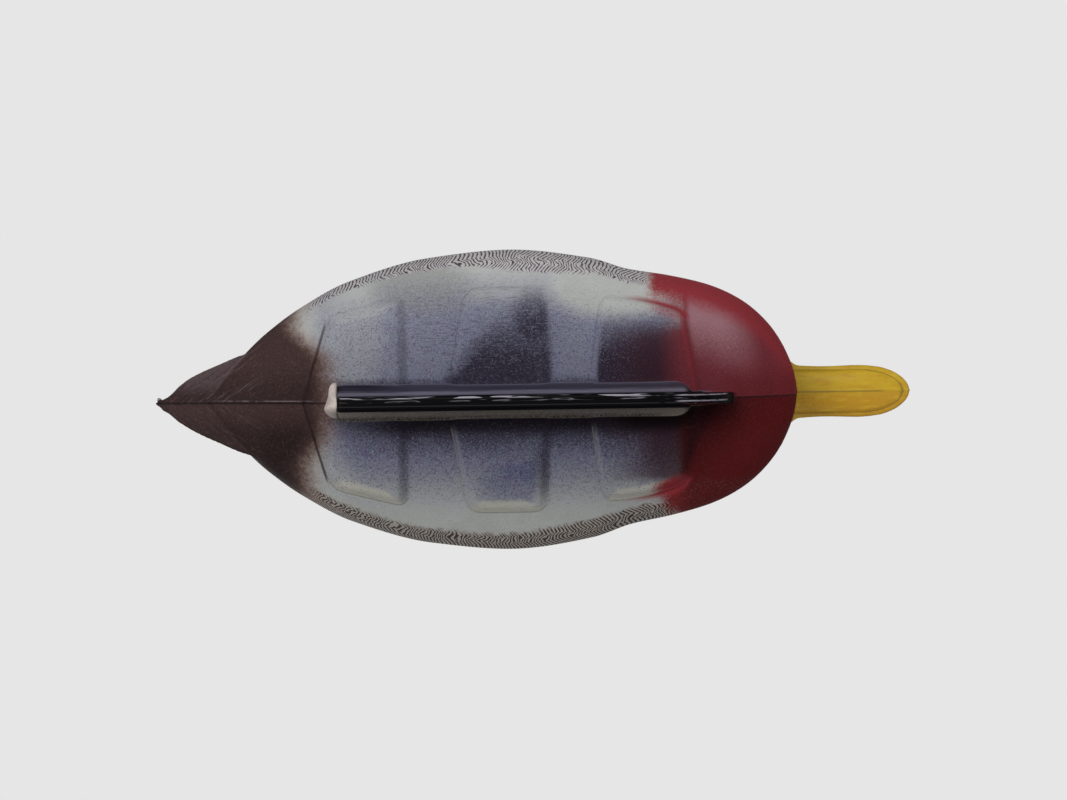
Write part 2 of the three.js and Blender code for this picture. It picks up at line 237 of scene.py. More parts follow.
def out_from_middle(x, y):
    """The distance from the keel line. The tail's right half is a little narrower than its left."""
    narrowing = 1 + 0.055 * ramp(140, 152, -x) + 1.6 * np.clip((-180 - x) / 20, 0, 1) ** 3
    return np.where(y < 0, -y * narrowing, y)


def tail_gap(x, y, z):
    half = tail_half_width(x)
    out = out_from_middle(x, y)
    share = np.minimum(out / half, 1)
    thin = 1 - 0.45 * np.clip((TAIL_ROOT_X - x) / (TAIL_ROOT_X - TAIL_TIP_X), 0, 1) ** 1.25
    level = z - tail_height(x, y)
    above = level - 0.4 - 1.2 * thin * (1 - share ** 8)
    below = -level - 0.8 - 3.4 * thin * (1 - share ** 1.6) ** 0.6
    edge = (out - half) * 0.8
    gap = blend_max(np.maximum(above, below), edge, 0.6)
    return within(gap, TAIL_TIP_X, TAIL_ROOT_X, x)


def feather_place(feather, x, y):
    """Where a point of the plan lies on a feather: share of the way from root to tip, distance from
    the shaft, and the feather's half width there."""
    (root_x, root_y), (tip_x, tip_y), half_width, _ = feather
    length = math.hypot(tip_x - root_x, tip_y - root_y)
    run_x = (tip_x - root_x) / length
    run_y = (tip_y - root_y) / length
    along = ((x - root_x) * run_x + (y - root_y) * run_y) / length
    across = (y - root_y) * run_x - (x - root_x) * run_y
    round_from = 0.74
    rounding = np.sqrt(1 - np.clip((along - round_from) / (1 - round_from), 0, 1) ** 2)
    half = half_width * (0.78 + 0.22 * ramp(0, 0.5, along)) * rounding
    return along, across, half, length


def feather_gap(feather, height):
    """A feather plate over the surface height(x, y), crowned along its shaft. It rises from its root,
    which is sunk below that surface."""
    rise = feather[3]
    sunk = 1.2
    depth = 0.4
    crown = 0.8

    def gap(x, y, z):
        along, across, half, length = feather_place(feather, x, out_from_middle(x, y))
        over = (rise + sunk) * ramp(0, 0.4, along) - sunk
        share = np.minimum(np.abs(across) / np.maximum(half, 0.01), 1)
        level = (z - height(x, y)) * 0.85
        above = level - over - crown * (1 - share ** 3)
        side = np.maximum(np.abs(across) - half, (along - 1) * length)
        return blend_max(np.maximum(above, -level - depth), np.maximum(side, -along * length), 0.9)

    return gap


# Neck and head: level sections between a front and a back line, closing at the crown
head_front = profile(
    [(NECK_ROOT_Z, 130), (92, 132.4), (108, 130.4), (116, 132), (125, 138.4), (134, 141.2), (144, 140.4),
     (157, 133.4), (168, 123), (CROWN_Z, 107)],
    CROWN_Z,
)
head_back = profile(
    [(NECK_ROOT_Z, 52), (90, 58), (100, 66), (110, 74.5), (120, 78.6), (132, 79.6), (145, 81), (157, 84.4),
     (168, 91.5), (CROWN_Z, 107)],
    CROWN_Z,
)
head_half_width = profile(
    [(NECK_ROOT_Z, 42), (90, 36), (100, 30), (110, 25), (120, 22.4), (132, 22.2), (145, 21.4), (157, 18.6),
     (168, 13), (CROWN_Z, 0)],
    CROWN_Z,
)


def head_gap(x, y, z):
    front = head_front(z)
    back = head_back(z)
    reach = (front - back) / 2
    half = head_half_width(z)
    ahead = x - (front + back) / 2
    blunt = 2 + 0.5 * ramp(118, 130, z) * (1 - ramp(150, 165, z))
    face = section_gap(ahead, y, reach, half, blunt)
    nape = section_gap(ahead, y, reach, half, 2)
    return within(np.where(ahead > 0, face, nape), NECK_ROOT_Z, CROWN_Z, z)


def eye_gap(x, y, z):
    across = (np.abs(y) - EYE.y) / 0.8
    return np.sqrt((x - EYE.x) ** 2 + across ** 2 + (z - EYE.z) ** 2) - EYE_RADIUS


def eyelid_gap(x, y, z):
    """A round rim about the eye, a little farther out than the eye's middle."""
    rim_out = 1.9
    rim_thickness = 1.5
    ring = np.hypot(x - EYE.x, z - EYE.z) - (EYE_RADIUS - 0.3)
    return np.hypot(ring, np.abs(y) - EYE.y - rim_out) - rim_thickness / 2


# Bill: an arched upper half over a flatter, narrower lower half
BILL_ROOT_X = 126
JAW_TIP_X = 197
bill_half_width = profile(
    [(BILL_ROOT_X, 21), (136, 16.8), (141, 14), (155, 13.4), (172, 13.8), (182, 13.1), (190, 10.9),
     (195, 8), (BILL_TIP_X, 0)],
    BILL_TIP_X,
)
bill_top = profile(
    [(BILL_ROOT_X, 152), (138, 148.4), (150, 142), (165, 136), (180, 132.4), (192, 130.6),
     (BILL_TIP_X, 127.6)],
    BILL_TIP_X,
)
bill_edge = profile([(BILL_ROOT_X, 127.6), (150, 127.6), (180, 126.8), (BILL_TIP_X, 127.2)])
jaw_half_width = profile(
    [(BILL_ROOT_X, 14), (140, 11.3), (175, 11), (185, 9.4), (192, 6.4), (JAW_TIP_X, 0)],
    JAW_TIP_X,
)
jaw_bottom = profile(
    [(BILL_ROOT_X, 121.6), (150, 122.6), (180, 123), (JAW_TIP_X, 125.6)],
    JAW_TIP_X,
)


def mandible_gap(half_width, top, bottom, edge, end_x):
    """One half of the bill, widest along its edge, from the bill's root to end_x."""
    def gap(x, y, z):
        half = half_width(x)
        level = z - edge(x)
        over = section_gap(y, level, half, top(x) - edge(x), 2.1)
        under = section_gap(y, level, half, edge(x) - bottom(x), 3)
        return within(np.where(level > 0, over, under), BILL_ROOT_X, end_x, x)

    return gap


upper_bill_gap = mandible_gap(bill_half_width, bill_top, lambda x: bill_edge(x) - 2, bill_edge, BILL_TIP_X)
lower_bill_gap = mandible_gap(
    jaw_half_width, lambda x: bill_edge(x) + 1, jaw_bottom, lambda x: bill_edge(x) - 1, JAW_TIP_X,
)


def ellipsoid_gap(centre, radii, tilt_y=0.0, tilt_x=0.0):
    """An ellipsoid and its mirror image over y = 0, tilted about Y and then about X."""
    turn = Matrix.Rotation(-tilt_x, 3, "X") @ Matrix.Rotation(tilt_y, 3, "Y")
    inverse = np.array(turn.transposed())

    def gap(x, y, z):
        offset = (x - centre[0], np.abs(y) - centre[1], z - centre[2])
        local = [sum(inverse[row][k] * offset[k] for k in range(3)) / radii[row] for row in range(3)]
        share = np.sqrt(local[0] ** 2 + local[1] ** 2 + local[2] ** 2)
        return (share - 1) * min(radii)

    return gap


NAIL_X = 192
NOSTRIL_X = 152
nail_gap = ellipsoid_gap((NAIL_X, 0, float(bill_top(NAIL_X)) - 0.9), (6.4, 4.6, 2), tilt_y=0.12)
nostril_gap = ellipsoid_gap(
    (NOSTRIL_X, 7.6, float(bill_top(NOSTRIL_X)) - 2.6), (4.6, 2.4, 1.7), tilt_y=0.35, tilt_x=0.8,
)


# Keel: a bar with sloping sides and a rounded front, and a thin blade ahead of it
def keel_half_width(z):
    foot = KEEL_FLAT / 2
    heights = [0, 1.3 * KEEL_CHAMFER, KEEL_SHOULDER]
    return np.interp(z, heights, [foot, foot + KEEL_CHAMFER, KEEL_WIDTH / 2])


def keel_gap(x, y, z):
    side = (np.abs(y) - keel_half_width(z)) * 0.96
    turn = np.sqrt(np.clip(1 - np.abs(y) / (KEEL_WIDTH / 2 + 1), 0, 1))
    front = KEEL_FRONT - KEEL_NOSE * (1 - turn) ** 2
    ends = np.maximum(x - front, KEEL_REAR - x)
    gap = blend_max(blend_max(side, -z, 0.7), ends, 0.8)
    return np.maximum(gap, z - KEEL_ROOT)


def bezier(start, first, second, end):
    t = np.linspace(0, 1, 40)
    rest = 1 - t
    return start * rest ** 3 + 3 * first * t * rest ** 2 + 3 * second * t ** 2 * rest + end * t ** 3


BLADE_CURVE_X = bezier(KEEL_FRONT, 95, BLADE_FRONT, BLADE_FRONT)
BLADE_CURVE_Z = bezier(0, 0, 12, BLADE_ROOT)


def blade_gap(x, y, z):
    front = (x - np.interp(z, BLADE_CURVE_Z, BLADE_CURVE_X)) * 0.8
    gap = blend_max(np.abs(y) - BLADE_THICKNESS / 2, np.maximum(front, -z), 1.2)
    return np.maximum(gap, np.maximum(KEEL_FRONT - 5 - x, z - BLADE_ROOT))


# The drake's curled tail feather and the bent nib at the tail tip, as round bars along a curve
def bar_gap(route, start_radius, end_radius, count):
    """A bar through the points of a route, with this number of straight pieces between each two."""
    knots = np.array([route[0], *route, route[-1]], float)
    centres = []
    for k in range(len(route) - 1):
        p0, p1, p2, p3 = knots[k:k + 4]
        for t in np.linspace(0, 1, count, endpoint=False):
            centres.append(
                0.5 * (2 * p1 + (p2 - p0) * t + (2 * p0 - 5 * p1 + 4 * p2 - p3) * t * t
                       + (3 * p1 - p0 - 3 * p2 + p3) * t ** 3)
            )
    centres.append(knots[-1])
    radii = np.linspace(start_radius, end_radius, len(centres))

    def gap(x, y, z):
        nearest = np.inf
        for i in range(len(centres) - 1):
            a = centres[i]
            run = centres[i + 1] - a
            t = ((x - a[0]) * run[0] + (y - a[1]) * run[1] + (z - a[2]) * run[2]) / (run @ run)
            t = np.clip(t, 0, 1)
            away = np.sqrt((x - a[0] - t * run[0]) ** 2 + (y - a[1] - t * run[1]) ** 2
                           + (z - a[2] - t * run[2]) ** 2)
            nearest = np.minimum(nearest, away - (radii[i] + (radii[i + 1] - radii[i]) * t))
        return nearest

    return gap


CURL_SIDE = [(-136, 82), (-150, 86), (-160, 92), (-163, 99.5), (-158, 105), (-151.5, 103)]
CURL_ROUTE = [(x, 0, z) for x, z in CURL_SIDE]
NIB_ROUTE = [(x, y, tail_height(x, y)) for x, y in ((-190, 0.4), (-196.6, 0.6), (-198.5, -1.8))]


# What the shell is joined from, in order: (gap, lowest corner, highest corner, fillet to the rest)
def feather_part(feather, height, fillet):
    (root_x, root_y), (tip_x, tip_y), half_width, _ = feather
    reach = max(root_y, tip_y) + half_width + 3
    low = (min(root_x, tip_x) - 3, -reach, 60)
    high = (max(root_x, tip_x) + 3, reach, 130)
    return feather_gap(feather, height), low, high, fillet


SHELL_PARTS = [
    *[feather_part(feather, back_height, 0.8) for feather in WING_FEATHERS],
    (tail_gap, (-204, -36, 60), (-110, 36, 90), 2),
    *[feather_part(feather, tail_height, 0.5) for feather in TAIL_FEATHERS],
    (bar_gap(NIB_ROUTE, 1.6, 1.2, 4), (-202, -6, 70), (-186, 6, 90), 0.6),
    (bar_gap(CURL_ROUTE, 4.4, 2, 6), (-172, -8, 70), (-128, 8, 112), 3),
    (head_gap, (44, -50, 76), (150, 50, 180), 15),
    (upper_bill_gap, (124, -24, 118), (204, 24, 156), 3),
    (lower_bill_gap, (124, -18, 118), (204, 18, 132), 0.6),
    (nail_gap, (182, -8, 126), (202, 8, 134), 0.8),
    (eyelid_gap, (110, -25, 140), (130, 25, 161), 1.2),
    (eye_gap, (110, -25, 140), (130, 25, 161), 0),
    (keel_gap, (-110, -16, -4), (90, 16, 41), 3),
    (blade_gap, (76, -10, -4), (114, 10, 43), 0.6),
    (nostril_gap, (140, -14, 132), (164, 14, 146), -0.6),
]
SEAM_HEIGHT = 0.35
SEAM_HALF_WIDTH = 0.55


def seam(y, z):
    """How far the moulding seam along the middle stands out. It is trimmed off the keel."""
    return SEAM_HEIGHT * np.exp(-(y / SEAM_HALF_WIDTH) ** 2) * ramp(KEEL_SHOULDER - 4, KEEL_SHOULDER, z)


def joined_gap(rest, part, fillet):
    """The part joined to the rest, or cut out of it where the fillet is negative."""
    return blend_min(rest, part, fillet) if fillet >= 0 else blend_max(rest, -part, -fillet)


def shell_gap(x, y, z):
    """The whole shell at scattered points."""
    gap = body_gap(x, y, z)
    for part, low, high, fillet in SHELL_PARTS:
        inside = (x > low[0]) & (x < high[0]) & (y > low[1]) & (y < high[1]) & (z > low[2]) & (z < high[2])
        if inside.any():
            gap[inside] = joined_gap(gap[inside], part(x[inside], y[inside], z[inside]), fillet)
    return gap - seam(y, z)


def stations(knots):
    """Grid lines whose spacing follows (place, spacing) knots."""
    places = np.array([k[0] for k in knots], float)
    spacings = np.array([k[1] for k in knots], float)
    lines = [places[0]]
    while lines[-1] < places[-1]:
        lines.append(lines[-1] + np.interp(lines[-1], places, spacings))
    return np.array(lines)


GRID_X = stations([(-203, 0.9), (-150, 1.2), (-110, 2), (105, 2), (128, 1.3), (203, 1)])
HALF_Y = stations([(0.22, 0.42), (2, 0.5), (9, 0.8), (20, 1.5), (40, 1.85), (83, 1.7)])
GRID_Y = np.concatenate([-HALF_Y[::-1], HALF_Y])
GRID_Z = stations([(-2.2, 0.6), (2.5, 0.7), (8, 1.5), (22, 1.4), (45, 1.7), (60, 1.5), (66, 0.85),
                   (84, 0.85), (90, 1.5), (110, 1.6), (120, 1.1), (150, 1.2), (179, 1.5)])
GRID = (GRID_X, GRID_Y, GRID_Z)


def shell_grid():
    """The shell's gap at every point of the grid, each part worked out only near itself."""
    x = GRID_X[:, None, None]
    y = GRID_Y[None, :, None]
    z = GRID_Z[None, None, :]
    gap = body_gap(x, y, z)
    for part, low, high, fillet in SHELL_PARTS:
        box = tuple(slice(*np.searchsorted(line, ends)) for line, *ends in zip(GRID, low, high))
        block = part(x[box[0]], y[:, box[1]], z[:, :, box[2]])
        gap[box] = joined_gap(gap[box], block, fillet)
    return gap - seam(y, z)


def pull_to_surface(points, rounds):
    """Moves points onto the shell's surface along its slope, by no more than longest in a round."""
    step = 0.02
    longest = 0.6
    least_steepness = 0.3
    for _ in range(rounds):
        x, y, z = points.T
        gap = shell_gap(x, y, z)
        beyond = (shell_gap(x + step, y, z), shell_gap(x, y + step, z), shell_gap(x, y, z + step))
        slope = (np.stack(beyond, axis=1) - gap[:, None]) / step
        steepness = np.maximum((slope ** 2).sum(1), least_steepness)
        shift = -slope * (gap / steepness)[:, None]
        length = np.maximum(np.linalg.norm(shift, axis=1), 1e-9)
        points = points + shift * np.minimum(1, longest / length)[:, None]
    return points


def smooth_mesh(name, points, faces):
    """A smooth shaded mesh, from points in millimetres."""
    mesh = bpy.data.meshes.new(name)
    mesh.from_pydata((np.array(points) * MM).tolist(), [], faces)
    mesh.shade_smooth()
    mesh.update()
    return mesh


def shell_points():
    """The shell's points and its four-sided faces."""
    grid = openvdb.FloatGrid(background=5.0)
    grid.copyFromArray(shell_grid().astype(np.float32))
    corners, quads = grid.convertToQuads(isovalue=0.0)
    columns = [np.interp(column, np.arange(len(line)), line) for column, line in zip(corners.T, GRID)]
    return pull_to_surface(np.stack(columns, axis=1), 3), quads.tolist()


# Attributes that the paint follows, one number for every point of the skin
def nearest_pad_wall(x, y):
    """How far a point lies beyond the front and the rear wall of the nearest pad, in plan."""
    out = np.abs(y)
    front = rear = closest = np.full(len(x), np.inf)
    for outline in PADS:
        rear_wall = np.interp(out, [outline[0][1], outline[1][1]], [outline[0][0], outline[1][0]])
        front_wall = np.interp(out, [outline[-1][1], outline[-2][1]], [outline[-1][0], outline[-2][0]])
        reach = np.maximum(x - front_wall, rear_wall - x)
        nearer = reach < closest
        closest = np.where(nearer, reach, closest)
        front = np.where(nearer, (x - front_wall) * PAD_FRONT_SLOPE, front)
        rear = np.where(nearer, rear_wall - x, rear)
    return front, rear


def feather_marks(x, y, z):
    """For each point of the back and the tail: the number of the feather it lies on (0 is none), the
    share along it, the distance from its shaft and the distance in from its edge."""
    out = out_from_middle(x, y)
    marks = np.zeros((4, len(x)))
    touching = 0.45
    nearest = np.full(len(x), touching)
    beds = [(feather, back_height) for feather in WING_FEATHERS]
    beds += [(feather, tail_height) for feather in TAIL_FEATHERS]
    for number, (feather, height) in enumerate(beds, start=1):
        gap = np.abs(feather_gap(feather, height)(x, y, z))
        along, across, half, length = feather_place(feather, x, out)
        here = (gap < nearest) & (along > 0.02) & (np.abs(across) < half + 1) & (z > height(x, y))
        nearest = np.where(here, gap, nearest)
        inset = np.minimum(half - np.abs(across), (1 - along) * length)
        marks = np.where(here, (np.full(len(x), number), along, across, inset), marks)
    return marks


FAR_OFF = 20


def paint_marks(points):
    """The marks by name. One that is measured near a single form alone is FAR_OFF elsewhere."""
    x, y, z = points.T
    front, rear = nearest_pad_wall(x, y)
    feather, along, across, inset = feather_marks(x, y, z)
    on_tail = x < TAIL_ROOT_X
    waist = np.maximum(body_waist(x), np.where(on_tail, tail_height(x, y), 0))
    half = np.maximum(body_half_width(x), np.where(on_tail, tail_half_width(x), 0))
    upper_bill = upper_bill_gap(x, y, z)
    lower_bill = lower_bill_gap(x, y, z)
    in_bill = (x > BILL_ROOT_X) & (z > 117) & (z < 156)
    return {
        "pad_rim": pad_rim(x, y),
        "pad_front": front,
        "pad_rear": rear,
        "flank": np.where(z < waist, out_from_middle(x, y) - half, z - waist),
        "off_keel": np.where(z < KEEL_ROOT, np.minimum(keel_gap(x, y, z), blade_gap(x, y, z)), FAR_OFF),
        "off_body": body_gap(x, y, z),
        "off_head": np.where((z > NECK_ROOT_Z) & (x > 44), head_gap(x, y, z), FAR_OFF),
        "bill_step": np.where(in_bill, upper_bill - lower_bill, FAR_OFF),
        "off_bill": np.where(in_bill, np.minimum(upper_bill, lower_bill), FAR_OFF),
        "off_eye": np.where((x > 110) & (x < 130) & (z > 140), eye_gap(x, y, z), FAR_OFF),
        "feather": feather,
        "feather_along": along,
        "feather_across": across,
        "feather_inset": inset,
    }


# Materials, written as arithmetic on numbers that vary over the surface

def srgb(red, green, blue):
    """A colour as it is seen on a screen, 0 to 255, turned into light."""
    def light(value):
        share = value / 255
        return share / 12.92 if share <= 0.04045 else ((share + 0.055) / 1.055) ** 2.4

    return (light(red), light(green), light(blue), 1)


def plug(tree, place, value):
    """Links a field or a node's output to an input, or sets a plain value there."""
    if isinstance(value, Field):
        value = value.socket
    if isinstance(value, bpy.types.NodeSocket):
        tree.links.new(value, place)
    else:
        place.default_value = value


def add_node(tree, kind, inputs, **settings):
    """A new node of this kind, with its settings and with what goes in at its inputs."""
    node = tree.nodes.new(kind)
    for name, value in settings.items():
        setattr(node, name, value)
    for place, value in inputs.items():
        plug(tree, node.inputs[place], value)
    return node


def field(tree, kind, inputs, which=0, **settings):
    """What one of the outputs of a new node gives."""
    return Field(tree, add_node(tree, kind, inputs, **settings).outputs[which])


class Field:
    """A number that varies over a surface: a socket of a node tree, with arithmetic on it."""

    def __init__(self, tree, socket):
        self.tree = tree
        self.socket = socket

    def math(self, operation, *others):
        return field(self.tree, "ShaderNodeMath", dict(enumerate((self, *others))), operation=operation)

    def ramp(self, low, high, bottom=0.0, top=1.0):
        """A smooth rise from bottom at low to top at high. High may be less than low."""
        inputs = {"Value": self, "From Min": low, "From Max": high, "To Min": bottom, "To Max": top}
        return field(self.tree, "ShaderNodeMapRange", inputs, interpolation_type="SMOOTHSTEP")

    def __add__(self, other):
        return self.math("ADD", other)

    def __sub__(self, other):
        return self.math("SUBTRACT", other)

    def __rsub__(self, other):
        return self * -1 + other

    def __mul__(self, other):
        return self.math("MULTIPLY", other)

    def __truediv__(self, other):
        return self.math("DIVIDE", other)

    def __abs__(self):
        return self.math("ABSOLUTE")

    __radd__ = __add__
    __rmul__ = __mul__

    def waves(self, length):
        """Waves between -1 and 1, one for each length that the field rises by."""
        return (self * (2 * math.pi / length)).math("SINE")

    def least(self, other):
        return self.math("MINIMUM", other)

    def most(self, other):
        return self.math("MAXIMUM", other)

    def clamp(self):
        return self.most(0).least(1)

    def near(self, value, reach):
        """1 where the field has this value, falling to 0 at reach away from it."""
        return abs(self - value).ramp(reach, 0)


class Surface:
    """A material in the making: the places and textures that its formulas start from, in millimetres,
    and its coats of paint, each laid over those before it."""

    def __init__(self, name, base):
        self.material = bpy.data.materials.new(name)
        self.material.use_nodes = True
        self.tree = self.material.node_tree
        place = self.output("ShaderNodeTexCoord", {}, "Object")
        self.place = self.output("ShaderNodeVectorMath", {0: place, "Scale": 1 / MM}, operation="SCALE")
        split = add_node(self.tree, "ShaderNodeSeparateXYZ", {0: self.place})
        self.x, self.y, self.z = [Field(self.tree, socket) for socket in split.outputs]
        self.colour = base

    def output(self, kind, inputs, which=0, **settings):
        return field(self.tree, kind, inputs, which, **settings)

    def mark(self, name):
        """A number stored on the mesh."""
        return self.output("ShaderNodeAttribute", {}, "Fac", attribute_name=name)

    def joined(self, x, y, z):
        return self.output("ShaderNodeCombineXYZ", {0: x, 1: y, 2: z})

    def counted(self, size, shift, place):
        """A place moved by shift and counted in lumps of this size, which may differ along x, y and z."""
        sizes = size if isinstance(size, tuple) else (size, size, size)
        moved = self.output("ShaderNodeVectorMath", {0: place, 1: shift}, operation="ADD")
        shares = tuple(1 / s for s in sizes)
        return self.output("ShaderNodeVectorMath", {0: moved, 1: shares}, operation="MULTIPLY")

    def noise(self, size, detail=2, seed=0, place=None, roughness=0.5):
        """Cloudy noise around 0.5, with lumps of this size."""
        lumps = self.counted(size, (17.3 * seed, 9.1 * seed, 5.7 * seed), place or self.place)
        inputs = {"Vector": lumps, "Scale": 1, "Detail": detail, "Roughness": roughness}
        return self.output("ShaderNodeTexNoise", inputs)

    def cells(self, size, shift):
        """The distance from the nearest of scattered points, in shares of the spacing."""
        inputs = {"Vector": self.counted(size, shift, self.place), "Scale": 1}
        return self.output("ShaderNodeTexVoronoi", inputs, "Distance")

    def coat(self, colour, amount):
        """Lays a colour over what is there, as thick as amount."""
        inputs = {"Factor": amount, 6: self.colour, 7: colour}
        self.colour = self.output("ShaderNodeMix", inputs, 2, data_type="RGBA")

    def cloud(self, centre, reach, strength=1.0):
        """A soft airbrushed patch: the centre and the reach of its fading edge in x and y."""
        across = (self.x - centre[0]) / reach[0]
        up = (self.y - centre[1]) / reach[1]
        return (across * across + up * up).ramp(1, 0.05, 0, strength)

    def done(self, roughness, relief, depth, gloss=0.0):
        """Finishes the material. Relief is a height in millimetres once it is multiplied by depth, and
        gloss is how much clear shine lies over the paint."""
        bump = self.output("ShaderNodeBump", {"Strength": 1, "Distance": depth * MM, "Height": relief})
        finish = {"Base Color": self.colour, "Roughness": roughness, "Specular IOR Level": 0.05,
                  "Coat Weight": gloss, "Coat Roughness": 0.22, "Normal": bump}
        shader = self.tree.nodes["Principled BSDF"]
        for place, value in finish.items():
            plug(self.tree, shader.inputs[place], value)
        return self.material


# Colours of the plastic and the paints
CREAM = srgb(168, 171, 169)
# Plastic stains, and also the painted shade line in the pads' crease.
CREAM_STAIN_AND_SHADE = srgb(150, 150, 141)
CREAM_LIGHT = srgb(184, 184, 180)
WALL_CREAM = srgb(184, 179, 160)
HAZE = srgb(82, 85, 119)
HAZE_BLUE = srgb(106, 110, 150)
HAZE_VIOLET = srgb(98, 80, 116)
HAZE_TEAL = srgb(94, 110, 112)
# Also the faint painted highlight on the pads' rear walls.
HAZE_LIGHT = srgb(148, 150, 162)
NEUTRAL_HAZE = srgb(110, 110, 108)
# Also partly painted shade on the pads' front walls.
DUSK = srgb(48, 44, 58)
VIOLET = srgb(37, 32, 49)
# Also painted shade beside the keel.
VIOLET_DEEP = srgb(16, 13, 17)
NEAR_BLACK = srgb(11, 8, 12)
WINE = srgb(54, 29, 38)
DEEP_BURGUNDY = srgb(83, 14, 16)
BURGUNDY = srgb(104, 42, 50)
# Also a painted highlight along the front pad's front edge.
BRIGHT_BURGUNDY = srgb(130, 44, 51)
CORNER_RED = srgb(156, 54, 56)
PALE_PINK = srgb(158, 124, 132)
RUMP_BROWN = srgb(54, 41, 40)
RUMP_SHADE = srgb(34, 26, 25)
WARM_BROWN = srgb(110, 77, 61)
FAN_PLUM = srgb(84, 72, 74)
# Also the painted highlight beside the seam under the rump.
BARB_LIGHT = srgb(122, 108, 112)
# Also the painted shade line in the rear pad's crease.
CREASE_BROWN = srgb(36, 26, 25)
KEEL_GREY = srgb(142, 138, 158)
KEEL_DUST = srgb(184, 174, 163)
# Painted highlights on the keel.
KEEL_GLINT = srgb(214, 210, 222)
LINE_BROWN = srgb(44, 34, 42)
STONE = srgb(178, 173, 177)
STONE_BROWN = srgb(156, 145, 134)
YELLOW = srgb(178, 144, 4)
YELLOW_LOWER = srgb(170, 125, 0)
YELLOW_LIGHT = srgb(192, 160, 28)
OLIVE_LINE = srgb(84, 72, 16)
BOTTLE_GREEN = srgb(12, 58, 38)
GREEN_SHEEN = srgb(26, 96, 72)
GREEN_SHADE = srgb(10, 26, 36)
COLLAR_WHITE = srgb(222, 221, 214)
CHESTNUT = srgb(96, 40, 38)
BACK_BROWN = srgb(104, 92, 82)
BACK_GREY = srgb(150, 146, 138)
WING_DARK = srgb(66, 56, 50)
SHAFT_DARK = srgb(52, 44, 40)
FEATHER_EDGE = srgb(178, 168, 152)
SPECULUM_BLUE = srgb(44, 62, 132)
TAIL_PALE = srgb(206, 202, 192)
EYE_BROWN = srgb(58, 34, 20)
BLACK = srgb(16, 15, 16)
PLUG_CREAM = srgb(222, 209, 202)
PLUG_STAIN = srgb(190, 172, 158)
PLUG_LIGHT = srgb(238, 230, 226)


def textures(s):
    """Speckle and unevenness that all the airbrushed paint shares."""
    s.grain = s.noise(0.8, detail=1, seed=1) - 0.5
    s.droplets = s.noise(1.5, detail=2, seed=2, roughness=0.7) - 0.5
    s.spatter = s.grain * 2.3 + s.droplets
    s.drift = s.noise(11, detail=3, seed=3) - 0.5
    s.ragged = s.noise(3.2, detail=3, seed=4) - 0.5
    s.streaks = s.noise((6, 0.7, 3), detail=2, seed=5) - 0.5
    s.tint = s.noise((5, 2.4, 3), detail=3, seed=6) - 0.5


def sprayed(s, thickness, bite=0.26):
    """A coat that is solid where thick and breaks up into droplets where thin."""
    return (thickness + s.spatter * thickness.ramp(0, 0.4, 0.03, bite)).clamp()


def bare_plastic(s):
    s.coat(CREAM_STAIN_AND_SHADE, (s.drift + 0.1).clamp())
    s.coat(CREAM_LIGHT, (s.grain * 1.4 + 0.05).clamp())


def haze(s):
    """Blue grey over the bottom, thinning out towards the bilge and on the pads' outer walls."""
    soft_out = s.out + s.drift * 7 + s.ragged * 4
    on_left = soft_out.ramp(65, 24, 0, 0.8) * (s.x - s.out * 0.5).ramp(-134, -104, 0.25, 1)
    on_left = on_left + s.cloud((-6, 49), (32, 21), 0.38) * s.rim.ramp(-3, -6) * s.x.ramp(19, 14)
    between = s.x.near(-66, 34).most(s.x.near(22, 13)) * soft_out.ramp(12, 18) * soft_out.ramp(56, 44)
    on_right = soft_out.ramp(73, 40, 0, 0.6) - between * 0.06
    thin = s.cloud((-97, -36), (24, 44), 0.2).most(s.cloud((44, -57), (40, 20), 0.55))
    thickness = on_left * s.left + (on_right - thin).most(0) * s.right
    front_half = (s.x + s.ragged * 6).ramp(84, 66)
    rear_half = (s.x + s.ragged * 6).ramp(-122, -108)
    thickness = thickness * (1 - s.outer_wall * (s.left * 0.5 + 0.3)) * front_half * rear_half
    s.coat(HAZE, sprayed(s, thickness))
    s.coat(HAZE_BLUE, s.right * s.x.ramp(-95, -62) * thickness * 0.45)
    s.coat(HAZE_VIOLET, thickness * (s.tint * 5).clamp() * 0.5)
    s.coat(HAZE_TEAL, thickness * (s.tint * -5).clamp() * 0.5)
    neutral = s.cloud((-58, -60), (36, 18), 0.5) * s.rim.ramp(-4, 1, 0.5, 1)
    s.coat(NEUTRAL_HAZE, sprayed(s, neutral * s.right, 0.2))


